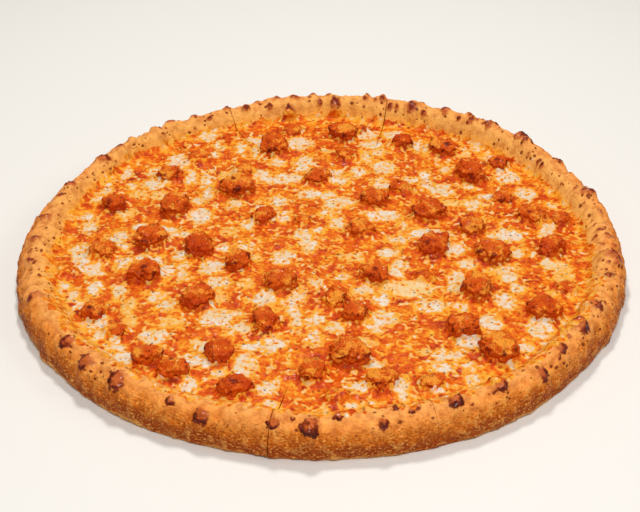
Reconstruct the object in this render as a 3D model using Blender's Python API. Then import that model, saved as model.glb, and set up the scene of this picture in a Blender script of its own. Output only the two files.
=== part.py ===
"""A large pan pizza cut into eight slices.

Each slice is a wedge of thick dough with a raised, blistered rim and a bed of melted cheese and
orange sauce lying inside that rim. Dice of browned chicken sit in shallow seats in the bed.
Metres, +Z up, the far side of the table at +Y. The pizza rests on z = 0.
"""

import math
import random

import bmesh
import bpy
from mathutils import Matrix, Vector, noise
from mathutils.geometry import delaunay_2d_cdt

MM = 0.001

# Driving dimensions
PIZZA_RADIUS = 219 * MM
RIM_WIDTH = 27 * MM
RIM_HEIGHT = 25 * MM
FLOOR_HEIGHT = 10 * MM
TOPPING_TOP = 16 * MM
KERF = 0.7 * MM
GAP = 0.45 * MM

# The cuts, as bearings of their rim ends in degrees clockwise from the far side. All meet at the hub.
CUT_BEARINGS = (-21.5, 15.0, 67.0, 111.5, 161.0, 188.5, 246.0, 285.5, 338.5)
HUB = Vector((12 * MM, -11 * MM, 0.0))

# The rim's section from the underside, up the outer side, over the crest and down to the topping:
# how far in from the outer edge as a share of the rim's width, how high as a share of RIM_HEIGHT, and
# how much of the far side's puff that point takes.
RIM_SECTION = (
    (0.07, 0.00, 0.00),
    (0.01, 0.09, 0.06),
    (0.00, 0.30, 0.25),
    (0.05, 0.56, 0.50),
    (0.20, 0.80, 0.85),
    (0.40, 0.96, 1.00),
    (0.60, 0.99, 1.00),
    (0.78, 0.90, 0.75),
    (0.91, 0.77, 0.30),
    (1.00, 0.67, 0.00),
)
# The rim rose most on the far side: it reaches further out, is wider and stands higher there.
PUFF_BEARING = 18.0
PUFF_SPREAD = 84.0
PUFF_REACH = 10 * MM
PUFF_WIDTH = 3 * MM
PUFF_RISE = 6 * MM
LIP_SLOPE = 2.5 * MM
# Stretches where the rim is narrower: bearing, spread to each side, how far the edge is in and how far
# the lip is out, in mm.
NARROWS = ((-45.0, 38.0, 0.0, 4.5), (125.0, 32.0, 3.0, 0.0))
# How far the rim's height, outer edge and inner edge wander, and for each the waves round the pizza and
# the row of noise that they are read from. Each slice reads its height a step apart from its neighbour.
RIM_SWELL = 0.11
EDGE_WANDER = 1.5 * MM
LIP_WANDER = 3.0 * MM
SWELL_NOISE = (4.3, 1.9)
EDGE_NOISE = (2.2, 3.7)
LIP_NOISE = (5.5, 8.1)
SLICE_STEP = 0.22
SECTION_STEP = 4.4
LEAST_SECTION_STEP = 1.3
SMOOTH_ANGLE = math.radians(50)

# Blisters on the rim: bearing in degrees, distance in from the outer edge and width in mm.
BLISTERS = (
    (3, 21, 13), (14, 15, 9), (21, 18, 14), (29, 14, 13), (35, 13, 9), (40, 13, 11), (49, 11, 18),
    (60, 9, 13), (74, 12, 17), (90, 11, 11), (98, 11, 20), (105, 14, 9), (116, 15, 16),
    (124, 13, 18), (132, 12, 14), (139, 7, 12), (148, 13, 14), (157, 13, 14), (167, 17, 10),
    (170, 7, 9), (182, 7, 15), (188, 7, 9), (200, 6, 14), (206, 9, 9), (217, 8, 16),
    (225, 8, 14), (232, 10, 14), (248, 11, 16), (261, 12, 10), (268, 13, 14), (277, 13, 15),
    (290, 15, 12), (303, 15, 17), (309, 15, 12), (320, 15, 11), (324, 11, 14), (330, 12, 9),
    (338, 13, 9), (345, 12, 9), (352, 25, 15), (358, 11, 9),
)  # fmt: skip
BLISTER_RISE = 0.24
BLISTER_REACH = 0.62
BLISTER_STRETCH = 0.8
BROAD_BLISTER = 12
LOWEST_BLISTER = 0.5

# Chicken dice: x and y of the middle and the length in mm, slice by slice.
CHICKEN = (
    ((-38, 146, 25), (18, 167, 23), (-3, 96, 20)),
    (
        (66, 154, 18), (98, 143, 21), (140, 117, 20), (118, 100, 26),
        (40, 62, 21), (62, 79, 17), (29, 18, 19), (79, 41, 25),
    ),
    ((110, 21, 20), (157, 37, 22), (80, -5, 25), (122, -14, 26), (165, -8, 22)),
    ((37, -42, 21), (107, -60, 24), (150, -85, 23), (94, -104, 23), (115, -131, 25)),
    ((9, -70, 20), (23, -88, 18), (18, -134, 26), (-5, -153, 19), (38, -161, 20)),
    (
        (-27, -52, 22), (-85, -72, 25), (-37, -98, 22), (-113, -138, 20),
        (-94, -152, 20), (-65, -135, 21), (-54, -170, 21), (-153, -86, 19),
    ),
    ((-124, -40, 22), (-158, -10, 20), (-88, -6, 25), (-124, 5, 24), (-58, -25, 20)),
    ((-118, 101, 20), (-65, 78, 26), (-110, 49, 24), (-157, 54, 20), (-43, 37, 20)),
)  # fmt: skip
DICE_HEIGHT = 0.50
DICE_SIDES = 9
DICE_HALF = 0.46
DICE_LEAN = 0.05
DICE_CROWN = 0.42
OUTLINE_SEED = 400
DICE_SEED = 900
SEAT_DEPTH = 2.0 * MM

# A dice's levels: the scale of its outline, and how high as a share of its height.
DICE_LEVELS = ((0.90, 0.0), (1.00, 0.22), (1.03, 0.52), (0.86, 0.84))
UNEVEN_ABOVE = 0.4

# Small scraps of chicken that the cheese has closed round, part of the bed: x, y and length in mm.
SCRAPS = (
    ((-24, 175, 15), (20, 133, 17), (34, 177, 13)),
    ((138, 64, 16),),
    ((179, 33, 15), (171, -57, 15)),
    ((73, -42, 14), (69, -164, 16)),
    ((10, -176, 14),),
    ((-137, -107, 15),),
    ((-179, -33, 14),),
    ((-97, 128, 18), (-60, 107, 17), (-13, 32, 13)),
)
SCRAP_SEEDS = 100
SCRAP_HEIGHT = 0.34
SCRAP_ROOT = 2.5 * MM

# The melted surface
RELIEF_HEIGHT = 1.3 * MM
RELIEF_SIZE = 17 * MM
RELIEF_FINER = 2.3
RELIEF_ROWS = (0.4, 6.2)
BED_SPACING = 13.5 * MM
BED_WANDER = 0.22
BED_SEED = 77
EDGE_CALM = 12 * MM
SIDE_STEP = 16 * MM

MATERIALS = {
    "crust": ((0.71, 0.36, 0.10), 0.62),
    "topping": ((0.86, 0.34, 0.06), 0.38),
    "chicken": ((0.62, 0.19, 0.03), 0.50),
}


def clear_scene():
    for old in list(bpy.data.objects):
        bpy.data.objects.remove(old)


def material(name):
    colour, roughness = MATERIALS[name]
    made = bpy.data.materials.new(name)
    made.use_nodes = True
    shader = made.node_tree.nodes["Principled BSDF"]
    shader.inputs["Base Color"].default_value = (*colour, 1.0)
    shader.inputs["Roughness"].default_value = roughness
    shader.inputs["Metallic"].default_value = 0.0
    return made


def heading(bearing):
    """The level direction of a bearing, clockwise from +Y."""
    angle = math.radians(bearing)
    return Vector((math.sin(angle), math.cos(angle), 0.0))


def around(bearing, waves, step=0.0):
    """Smooth noise that closes on itself round the pizza, from about -1 to 1."""
    turns, row = waves
    way = heading(bearing)
    return noise.noise(Vector((way.x * turns, way.y * turns, row + step)))


def blister_bump(bearing, inset):
    """How far the blisters lift the rim at a bearing and a distance in from its edge."""
    lift = 0.0
    radius = edge_radius(bearing) - inset
    for centre, depth, width in BLISTERS:
        turn = (bearing - centre + 180) % 360 - 180
        along = math.radians(turn) * radius
        across = inset - depth * MM
        away = math.hypot(along, BLISTER_STRETCH * across) / (BLISTER_REACH * width * MM)
        if away < 1:
            lift += BLISTER_RISE * width * MM * (1 - away**2) ** 2
    return lift


def section_normals():
    """Outward directions of the rim's section, as (towards the edge, up)."""
    points = [(-inset * RIM_WIDTH, up * RIM_HEIGHT) for inset, up, _ in RIM_SECTION]
    normals = []
    for i in range(len(points)):
        before = points[max(i - 1, 0)]
        after = points[min(i + 1, len(points) - 1)]
        run = Vector((after[0] - before[0], after[1] - before[1])).normalized()
        normals.append((run.y, -run.x))
    return normals


SECTION_NORMALS = section_normals()
LIP = len(RIM_SECTION) - 1


def stretch(bearing, centre, spread):
    """A smooth share, 1 at the centre of a stretch of rim and 0 beyond its spread."""
    turn = (bearing - centre + 180) % 360 - 180
    if abs(turn) > spread:
        return 0.0
    return math.cos(math.pi / 2 * turn / spread) ** 2


def puff(bearing):
    """How far the rim has puffed up at a bearing, from 0 to 1."""
    return stretch(bearing, PUFF_BEARING, PUFF_SPREAD)


def edge_radius(bearing):
    """The rim's outer radius at a bearing."""
    radius = PIZZA_RADIUS + PUFF_REACH * puff(bearing) + EDGE_WANDER * around(bearing, EDGE_NOISE)
    for centre, spread, edge_in, _ in NARROWS:
        radius -= edge_in * MM * stretch(bearing, centre, spread)
    return radius


def rim_width(bearing):
    """How wide the rim is at a bearing, from its outer edge to the lip."""
    width = RIM_WIDTH + PUFF_WIDTH * puff(bearing) + LIP_WANDER * around(bearing, LIP_NOISE)
    for centre, spread, edge_in, lip_out in NARROWS:
        width -= (edge_in + lip_out) * MM * stretch(bearing, centre, spread)
    return width


def rim_sample(bearing, row, number):
    """(distance in from the edge, height) of one row of slice number's rim at a bearing."""
    share, up, lifted = RIM_SECTION[row]
    swell = RIM_SWELL * around(bearing, SWELL_NOISE, SLICE_STEP * number)
    inset = share * rim_width(bearing)
    height = up * RIM_HEIGHT + lifted * (PUFF_RISE * puff(bearing) + RIM_HEIGHT * swell)
    if up > LOWEST_BLISTER and row < LIP:
        out, rise = SECTION_NORMALS[row]
        bump = blister_bump(bearing, inset)
        inset -= out * bump
        height += rise * bump
    return inset, height


def at_rim(bearing, inset, height):
    """A point that far in from the outer edge, on the level line from the edge to the hub."""
    edge = heading(bearing) * edge_radius(bearing)
    inward = (HUB - edge).normalized()
    return edge + inward * inset + Vector((0.0, 0.0, height))


def section_bearings(start, end):
    """The bearings at which a slice is sampled: its two cuts, its broad blisters and a steady fill."""
    wanted = [start, end]
    for centre, _, width in BLISTERS:
        half = math.degrees(0.5 * width * MM / PIZZA_RADIUS)
        steps = (-1.0, 0.0, 1.0) if width >= BROAD_BLISTER else (0.0,)
        for step in steps:
            for turn in (0, -360):
                wanted.append(centre + turn + step * half)
    inside = sorted(b for b in wanted if start + LEAST_SECTION_STEP < b < end - LEAST_SECTION_STEP)
    kept = [start]
    for bearing in [*inside, end]:
        if bearing - kept[-1] < LEAST_SECTION_STEP and bearing != end:
            continue
        count = math.ceil((bearing - kept[-1]) / SECTION_STEP)
        last = kept[-1]
        kept += [last + (bearing - last) * i / count for i in range(1, count + 1)]
    return kept


def slice_shift(start, end):
    """How far a slice is drawn out from the hub, so that the kerf opens on both of its sides."""
    first = (heading(start) * PIZZA_RADIUS - HUB).normalized()
    last = (heading(end) * PIZZA_RADIUS - HUB).normalized()
    middle = (first + last).normalized()
    half = first.angle(last) / 2
    return middle * (KERF / 2 / math.sin(half))


def finished(name, bm, surface, shift):
    """A named object from a bmesh, with its faces pointing out, its material and its place."""
    bmesh.ops.recalc_face_normals(bm, faces=bm.faces)
    bmesh.ops.triangulate(bm, faces=bm.faces)
    mesh = bpy.data.meshes.new(name)
    bm.to_mesh(mesh)
    bm.free()
    mesh.transform(Matrix.Translation(shift))
    mesh.shade_smooth()
    mesh.set_sharp_from_angle(angle=SMOOTH_ANGLE)
    mesh.materials.append(surface)
    made = bpy.data.objects.new(name, mesh)
    bpy.context.scene.collection.objects.link(made)
    return made


def crust_slice(name, number, start, end, surface, shift):
    """A wedge of dough: flat underside, raised rim, and a level floor for the topping."""
    bm = bmesh.new()
    rows = []
    for bearing in section_bearings(start, end):
        samples = [rim_sample(bearing, row, number) for row in range(len(RIM_SECTION))]
        samples.append((samples[-1][0] + LIP_SLOPE, FLOOR_HEIGHT))
        rows.append([bm.verts.new(at_rim(bearing, *sample)) for sample in samples])
    hub_top = bm.verts.new(HUB + Vector((0.0, 0.0, FLOOR_HEIGHT)))
    hub_base = bm.verts.new(HUB)
    for near, far in zip(rows, rows[1:]):
        for i in range(len(near) - 1):
            bm.faces.new((near[i], near[i + 1], far[i + 1], far[i]))
        bm.faces.new((near[-1], hub_top, far[-1]))
        bm.faces.new((near[0], far[0], hub_base))
    for row in (rows[0], rows[-1]):
        bm.faces.new((*row, hub_top, hub_base))
    return finished(name, bm, surface, shift)


def relief(x, y):
    """The melted surface's own height above TOPPING_TOP, calm at its outer edge."""
    broad = noise.noise(Vector((x / RELIEF_SIZE, y / RELIEF_SIZE, RELIEF_ROWS[0])))
    finer = RELIEF_FINER / RELIEF_SIZE
    fine = noise.noise(Vector((x * finer, y * finer, RELIEF_ROWS[1])))
    bearing = math.degrees(math.atan2(x, y))
    lip = rim_sample(bearing, LIP, 0)[0]
    from_edge = edge_radius(bearing) - lip - math.hypot(x, y)
    calm = min(max(from_edge / EDGE_CALM, 0.0), 1.0)
    return RELIEF_HEIGHT * (broad + 0.5 * fine) * calm


def on_bed(x, y):
    return Vector((x, y, TOPPING_TOP + relief(x, y)))


def dice_outline(index, length):
    """The plan of a piece of chicken: a rounded square of uneven corners, as radii by angle."""
    rng = random.Random(OUTLINE_SEED + index)
    turn = rng.uniform(0, math.pi)
    narrow = rng.uniform(0.74, 0.96)
    outline = []
    for i in range(DICE_SIDES):
        angle = math.tau * i / DICE_SIDES
        square = (math.cos(angle) ** 4 + math.sin(angle) ** 4) ** -0.25
        radius = DICE_HALF * length * square * rng.uniform(0.90, 1.06)
        along, across = radius * math.cos(angle), radius * math.sin(angle) * narrow
        x = along * math.cos(turn) - across * math.sin(turn)
        y = along * math.sin(turn) + across * math.cos(turn)
        outline.append(Vector((x, y, 0.0)))
    return outline


def ring(centre, outline, scale, grow, height):
    """The outline about a centre, scaled and pushed out, at one height."""
    return [
        Vector((centre.x, centre.y, height)) + corner * scale + corner.normalized() * grow
        for corner in outline
    ]


def chicken_dice(name, index, centre, length, seat, height, surface, shift):
    """One piece of chicken, flat at its seat and uneven above."""
    outline = dice_outline(index, length)
    rng = random.Random(DICE_SEED + index)
    tall = height * rng.uniform(0.85, 1.1)
    lean = Vector((rng.uniform(-1, 1), rng.uniform(-1, 1), 0.0)) * DICE_LEAN * length
    bm = bmesh.new()
    rows = []
    for scale, up in DICE_LEVELS:
        row = ring(centre + lean * up, outline, scale, 0.0, seat + tall * up)
        if up > UNEVEN_ABOVE:
            row = [point + Vector((0.0, 0.0, rng.uniform(-0.08, 0.08) * tall)) for point in row]
        rows.append([bm.verts.new(point) for point in row])
    crown = centre + lean + Vector((0.0, 0.0, seat + tall))
    inner = [
        bm.verts.new(crown + corner * DICE_CROWN + Vector((0.0, 0.0, rng.uniform(-0.05, 0.03) * tall)))
        for corner in outline[::3]
    ]
    for low, high in zip(rows, rows[1:]):
        for i in range(DICE_SIDES):
            j = (i + 1) % DICE_SIDES
            bm.faces.new((low[i], low[j], high[j], high[i]))
    top = rows[-1]
    count = len(inner)
    step = DICE_SIDES // count
    for k in range(count):
        a, b = k * step, (k + 1) * step
        fan = [top[i % DICE_SIDES] for i in range(a, b + 1)]
        bm.faces.new((*fan, inner[(k + 1) % count], inner[k]))
    bm.faces.new(inner)
    bm.faces.new(tuple(reversed(rows[0])))
    return finished(name, bm, surface, shift)


def inside(point, polygon):
    """Whether a point is inside a plan polygon."""
    crossings = 0
    for a, b in zip(polygon, [*polygon[1:], polygon[0]]):
        if (a.y > point.y) != (b.y > point.y):
            reach = a.x + (point.y - a.y) * (b.x - a.x) / (b.y - a.y)
            crossings += reach > point.x
    return crossings % 2 == 1


def nearest_edge(point, polygon):
    """The level distance from a point to a polygon's edge."""
    least = math.inf
    for a, b in zip(polygon, [*polygon[1:], polygon[0]]):
        run = (b - a).to_2d()
        share = (point - a).to_2d().dot(run) / run.length_squared
        foot = a.to_2d() + run * min(max(share, 0.0), 1.0)
        least = min(least, (point.to_2d() - foot).length)
    return least


def bed_points(outline, seats):
    """Free points of the melted surface: an uneven triangular grid clear of the outline and seats."""
    rng = random.Random(BED_SEED)
    reach = math.ceil(PIZZA_RADIUS / BED_SPACING) + 1
    points = []
    for row in range(-reach, reach + 1):
        for column in range(-reach, reach + 1):
            x = column + 0.5 * (row % 2) + rng.uniform(-BED_WANDER, BED_WANDER)
            y = row * math.sqrt(0.75) + rng.uniform(-BED_WANDER, BED_WANDER)
            points.append(Vector((x, y, 0.0)) * BED_SPACING)
    kept = []
    for point in points:
        clear = inside(point, outline) and nearest_edge(point, outline) > 0.32 * BED_SPACING
        if clear and all(
            not inside(point, seat) and nearest_edge(point, seat) > 0.2 * BED_SPACING
            for seat in seats
        ):
            kept.append(point)
    return kept


def topping_slice(name, start, end, dice, surface, shift):
    """The bed of cheese and sauce on one slice, with a seat for each piece of chicken."""
    bearings = section_bearings(start, end)
    lips = [rim_sample(bearing, LIP, 0)[0] for bearing in bearings]
    rim_top = [at_rim(b, lip + GAP, 0.0) for b, lip in zip(bearings, lips)]
    rim_low = [at_rim(b, lip + LIP_SLOPE + GAP, 0.0) for b, lip in zip(bearings, lips)]
    sides = []
    for corner in (rim_low[0], rim_low[-1]):
        run = HUB - corner
        count = round(run.length / SIDE_STEP)
        sides.append([corner + run * i / count for i in range(1, count)])
    back = [*sides[1], HUB.copy(), *reversed(sides[0])]
    outline = [*rim_top, *back]
    foot = [*rim_low, *back]
    seats = [
        ring(centre, dice_outline(index, length), 1.0, 2 * GAP, 0.0)
        for index, centre, length in dice
    ]
    free = bed_points(outline, seats)
    plan = [*outline]
    loops = [list(reversed(range(len(outline))))]
    for seat in seats:
        loops.append(list(range(len(plan), len(plan) + len(seat))))
        plan += seat
    plan += free
    flat = [point.to_2d() for point in plan]
    found = delaunay_2d_cdt(flat, [], loops, 0, 1e-7)
    bm = bmesh.new()
    top = [bm.verts.new(on_bed(p.x, p.y)) for p in found[0]]
    for face, origins in zip(found[2], found[5]):
        if origins == [0]:
            bm.faces.new([top[i] for i in face])
    place = {old: new for new, olds in enumerate(found[3]) for old in olds}
    low = Vector((0.0, 0.0, FLOOR_HEIGHT + GAP))
    base = [bm.verts.new(point + low) for point in foot]
    for i in range(len(outline)):
        j = (i + 1) % len(outline)
        bm.faces.new((top[place[i]], top[place[j]], base[j], base[i]))
    bm.faces.new(base)
    for loop in loops[1:]:
        brim = [top[place[i]] for i in loop]
        well = [bm.verts.new(Vector((v.co.x, v.co.y, TOPPING_TOP - SEAT_DEPTH))) for v in brim]
        for i in range(len(brim)):
            j = (i + 1) % len(brim)
            bm.faces.new((brim[i], brim[j], well[j], well[i]))
        bm.faces.new(well)
    return finished(name, bm, surface, shift)


def fuse_scraps(bed, scraps, first_index, surface, shift):
    """Joins a slice's scraps to its bed with one Boolean union."""
    lumps = bpy.data.collections.new("scraps")
    for i, (x, y, length) in enumerate(scraps):
        centre = Vector((x * MM, y * MM, 0.0))
        seat = TOPPING_TOP - SCRAP_ROOT
        tall = SCRAP_HEIGHT * length * MM + SCRAP_ROOT
        lump = chicken_dice("scrap", first_index + i, centre, length * MM, seat, tall, surface, shift)
        bpy.context.scene.collection.objects.unlink(lump)
        lumps.objects.link(lump)
    join = bed.modifiers.new("scraps", "BOOLEAN")
    join.operation = "UNION"
    join.operand_type = "COLLECTION"
    join.collection = lumps
    join.solver = "EXACT"
    bpy.context.scene.collection.children.link(lumps)
    evaluated = bed.evaluated_get(bpy.context.evaluated_depsgraph_get())
    fused = bpy.data.meshes.new_from_object(evaluated)
    bed.modifiers.clear()
    bed.data = fused
    for lump in list(lumps.objects):
        bpy.data.objects.remove(lump)
    bpy.data.collections.remove(lumps)


def centre_on_origin(objects):
    """Moves everything so that the middle of its bounding box is over the origin."""
    corners = [obj.matrix_world @ vertex.co for obj in objects for vertex in obj.data.vertices]
    low = Vector([min(c[i] for c in corners) for i in range(3)])
    high = Vector([max(c[i] for c in corners) for i in range(3)])
    offset = Vector((-(low.x + high.x) / 2, -(low.y + high.y) / 2, -low.z))
    for obj in objects:
        obj.location = offset


def main():
    clear_scene()
    crust, topping, chicken = (material(name) for name in MATERIALS)
    made = []
    index = 0
    cuts = list(zip(CUT_BEARINGS, CUT_BEARINGS[1:]))
    for number, (start, end) in enumerate(cuts, 1):
        shift = slice_shift(start, end)
        dice = []
        for x, y, length in CHICKEN[number - 1]:
            index += 1
            dice.append((index, Vector((x * MM, y * MM, 0.0)), length * MM))
        made.append(crust_slice(f"crust_slice_{number}", number, start, end, crust, shift))
        bed = topping_slice(f"topping_slice_{number}", start, end, dice, topping, shift)
        fuse_scraps(bed, SCRAPS[number - 1], SCRAP_SEEDS * number, topping, shift)
        made.append(bed)
        for i, centre, length in dice:
            tall = DICE_HEIGHT * length
            seat = TOPPING_TOP - SEAT_DEPTH + GAP
            name = f"chicken_{i:02d}"
            made.append(chicken_dice(name, i, centre, length, seat, tall, chicken, shift))
    centre_on_origin(made)


main()
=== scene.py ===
# %% [markdown]
# A large pan pizza, cut into eight slices. The packed solids say where every wedge of dough, bed of
# topping and piece of chicken lies. This lesson dresses them: each solid is replaced by a finer mesh of
# the same form, and each mesh gets a finish worked out by nodes. Loading comes first, because every
# later size is compared with the box of the solids.

# %% Load the frame
import math
import random

import bmesh
import bpy
import numpy as np
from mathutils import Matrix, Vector, noise
from mathutils.geometry import delaunay_2d_cdt


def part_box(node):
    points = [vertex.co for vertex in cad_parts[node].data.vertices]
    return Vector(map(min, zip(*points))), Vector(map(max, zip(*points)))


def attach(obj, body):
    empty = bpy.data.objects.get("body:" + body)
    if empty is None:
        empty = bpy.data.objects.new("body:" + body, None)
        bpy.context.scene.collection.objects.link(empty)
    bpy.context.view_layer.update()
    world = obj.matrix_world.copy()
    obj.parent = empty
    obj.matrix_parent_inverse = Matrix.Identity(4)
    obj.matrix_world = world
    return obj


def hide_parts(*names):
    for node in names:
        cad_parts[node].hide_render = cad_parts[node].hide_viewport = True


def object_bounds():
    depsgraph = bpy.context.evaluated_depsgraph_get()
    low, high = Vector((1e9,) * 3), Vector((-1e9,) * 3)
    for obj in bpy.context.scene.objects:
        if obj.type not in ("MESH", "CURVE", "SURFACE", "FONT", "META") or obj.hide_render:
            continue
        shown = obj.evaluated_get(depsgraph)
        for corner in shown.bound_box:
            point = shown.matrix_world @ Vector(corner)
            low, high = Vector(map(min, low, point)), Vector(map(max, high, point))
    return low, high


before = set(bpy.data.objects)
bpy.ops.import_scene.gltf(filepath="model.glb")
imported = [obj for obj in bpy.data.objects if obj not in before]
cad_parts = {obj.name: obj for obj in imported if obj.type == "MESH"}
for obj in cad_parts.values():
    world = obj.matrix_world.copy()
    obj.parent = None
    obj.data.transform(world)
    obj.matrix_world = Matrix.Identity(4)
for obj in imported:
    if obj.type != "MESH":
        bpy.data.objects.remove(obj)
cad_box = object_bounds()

MM = 0.001
print("solids:", len(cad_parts), "box in mm:", [round(side / MM, 1) for side in cad_box[1] - cad_box[0]])

# %% [markdown]
# The pizza was looked down on from a little under 33 degrees, from about a metre away. A lens of 79 mm
# on a 36 mm sensor gives that view with no shift. The camera could aim itself at the pizza with a
# constraint, but plain numbers keep the view fixed while the pieces change.

# %% The camera
PLAN_TO_FRAME = Vector((-0.132, -4.455, 0.0)) * MM
CAMERA_PLACE = Vector((-0.95, -869.8, 567.8)) * MM
CAMERA_DOWN = 32.83
FOCAL_PIXELS = 1410.8
FRAME_PIXELS = 640
SENSOR_WIDTH = 36.0

camera_data = bpy.data.cameras.new("camera")
camera_data.sensor_width = SENSOR_WIDTH
camera_data.lens = FOCAL_PIXELS / FRAME_PIXELS * SENSOR_WIDTH
camera_data.clip_start = 0.01
camera = bpy.data.objects.new("camera", camera_data)
camera.location = CAMERA_PLACE + PLAN_TO_FRAME
camera.rotation_euler = (math.radians(90 - CAMERA_DOWN), 0.0, 0.0)
bpy.context.scene.collection.objects.link(camera)
bpy.context.scene.camera = camera
print("lens in mm:", round(camera_data.lens, 2))

# %% [markdown]
# Shader sums read best as plain expressions. The class below wraps a socket, so that `1 - mask` or
# `tone * 0.5 + grain` adds the Math nodes by itself. The nodes could be wired by hand in the editor,
# but then their order would have to be explained with pictures.

# %% Sockets that add up
class Wire:
    """An output socket that answers to + - and *, each of which adds a Math node."""

    def __init__(self, finish, socket):
        self.finish = finish
        self.socket = socket

    def maths(self, operation, first, second):
        return self.finish.add("ShaderNodeMath", {"operation": operation}, {0: first, 1: second})

    def __add__(self, other):
        return self.maths("ADD", self, other)

    __radd__ = __add__

    def __sub__(self, other):
        return self.maths("SUBTRACT", self, other)

    def __rsub__(self, other):
        return self.maths("SUBTRACT", other, self)

    def __mul__(self, other):
        return self.maths("MULTIPLY", self, other)

    __rmul__ = __mul__


print("sums that add nodes:", [name for name in vars(Wire) if name in ("__add__", "__sub__", "__mul__")])

# %% [markdown]
# A Finish is one material under construction: its `add` makes any other node, and small helpers give
# the steps, mixes and noises that food needs. Food is coloured in layers, as an oven does it, so one
# helper lays a whole list of colours over another. Colours are written as they look on a screen.

# %% A finish under construction
class Finish:
    """A material being built, with its shader at hand."""

    def __init__(self, name):
        self.material = bpy.data.materials.new(name)
        self.material.use_nodes = True
        self.tree = self.material.node_tree
        self.shader = self.tree.nodes["Principled BSDF"]

    def add(self, kind, settings=None, inputs=None, output=0):
        """A node of any type: its settings first, then the values or links of its sockets."""
        node = self.tree.nodes.new(kind)
        for key, value in (settings or {}).items():
            if key == "stops":
                self.set_stops(node.color_ramp, value)
            else:
                setattr(node, key, value)
        for key, value in (inputs or {}).items():
            self.join(node.inputs[key], value)
        return Wire(self, node.outputs[output])

    def join(self, socket, value):
        if isinstance(value, Wire):
            self.tree.links.new(value.socket, socket)
        elif isinstance(value, tuple) and len(value) == 3 and socket.type == "RGBA":
            socket.default_value = (*value, 1.0)
        else:
            socket.default_value = value

    @staticmethod
    def set_stops(ramp, stops):
        while len(ramp.elements) < len(stops):
            ramp.elements.new(1.0)
        for element, (place, colour) in zip(ramp.elements, stops):
            element.position = place
            element.color = (*colour, 1.0)

    def set(self, **values):
        """Sets the shader's own sockets; an underscore in a name stands for a space."""
        for key, value in values.items():
            self.join(self.shader.inputs[key.replace("_", " ")], value)

    def mark(self, name):
        """A value stored on the mesh's points."""
        return self.add("ShaderNodeAttribute", {"attribute_name": name}, output="Fac")

    def place(self):
        return self.add("ShaderNodeTexCoord", output="Object")

    def grain(self, size, detail=2.0, where=None, roughness=0.5):
        """Noise from 0 to 1 with lumps of about `size` metres."""
        where = where or self.place()
        wanted = {"Vector": where, "Scale": 0.5 / size, "Detail": detail, "Roughness": roughness}
        return self.add("ShaderNodeTexNoise", inputs=wanted)

    def grit(self, size, detail=2.0, where=None):
        """Noise with more contrast: most of it is near 0 or near 1."""
        wanted = {"Value": self.grain(size, detail, where, 0.55), "From Min": 0.34, "From Max": 0.66}
        return self.add("ShaderNodeMapRange", inputs=wanted)

    @staticmethod
    def stir(value, *grains):
        """A value moved up and down by some grains, each with its amount."""
        for grain, amount in grains:
            value = value + (grain - 0.5) * amount
        return value

    def dots(self, spacing, small, large, share, plane="3D"):
        """Round dots scattered about `spacing` apart; a share of the cells is left empty."""
        settings = {"voronoi_dimensions": plane}
        wanted = {"Vector": self.place(), "Scale": 1 / spacing}
        away = self.add("ShaderNodeTexVoronoi", settings, wanted)
        drawn = {"Color": self.add("ShaderNodeTexVoronoi", settings, wanted, output="Color")}
        chance, large_share = (self.add("ShaderNodeSeparateColor", inputs=drawn, output=i) for i in (0, 1))
        size = small + (large - small) * large_share
        body = self.step(size - away * spacing, 0.0, 0.7 * small)
        return body * self.step(chance, share, share + 0.02)

    def step(self, value, low, high):
        """0 below `low`, 1 above `high` and smooth between them."""
        wanted = {"Value": value, "From Min": low, "From Max": high}
        return self.add("ShaderNodeMapRange", {"interpolation_type": "SMOOTHSTEP"}, wanted)

    def mix(self, share, first, second):
        settings = {"data_type": "RGBA"}
        return self.add("ShaderNodeMix", settings, {0: share, 6: first, 7: second}, output=2)

    def layers(self, colour, *rows):
        """Colours laid over one another: the value that shows each, its start, its end, share and colour."""
        for value, low, high, share, over in rows:
            colour = self.mix(self.step(value, low, high) * share, colour, over)
        return colour

    def ramp(self, value, stops):
        return self.add("ShaderNodeValToRGB", {"stops": stops}, {0: value})

    def bump(self, height, distance, strength=1.0):
        wanted = {"Height": height, "Distance": distance, "Strength": strength}
        return self.add("ShaderNodeBump", inputs=wanted)


def rgb(red, green, blue):
    """A screen colour, 0 to 255, as the linear light that a shader takes."""
    return tuple(((value / 255 + 0.055) / 1.055) ** 2.4 for value in (red, green, blue))


# %% [markdown]
# The floor is a plain pale sheet. A pale floor also throws soft light back at the rim's outer side,
# as the paper sweep of a studio does.

# %% The floor
FLOOR_REACH = 6.0


def make_floor():
    mesh = bpy.data.meshes.new("floor")
    corners = [(x * FLOOR_REACH, y * FLOOR_REACH, 0.0) for x, y in ((-1, -1), (1, -1), (1, 1), (-1, 1))]
    mesh.from_pydata(corners, [], [(0, 1, 2, 3)])
    finish = Finish("studio_floor")
    tone = finish.grain(0.4)
    finish.set(Base_Color=finish.mix(tone, rgb(226, 223, 218), rgb(232, 229, 225)), Roughness=0.85)
    mesh.materials.append(finish.material)
    floor = bpy.data.objects.new("floor", mesh)
    bpy.context.scene.collection.objects.link(floor)


make_floor()
print("floor reach in m:", FLOOR_REACH)

# %% [markdown]
# A soft studio light for food comes from above and behind, so that every crumb throws a small shadow
# towards the viewer and wet sauce shines. A second one in front keeps the near rim readable, and a weak
# one from the right rounds the forms off. The room itself gives a little light from all sides.

# %% The lights
LIGHTS = (
    ("key", (-0.05, 0.50, 1.20), 0.25, 9.5, (1.0, 0.98, 0.94)),
    ("side", (1.10, -0.20, 0.95), 0.6, 3.0, (1.0, 0.98, 0.95)),
    ("front", (0.0, -1.00, 1.20), 0.35, 12.0, (1.0, 0.98, 0.95)),
)
ROOM_LIGHT = 0.26


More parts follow.
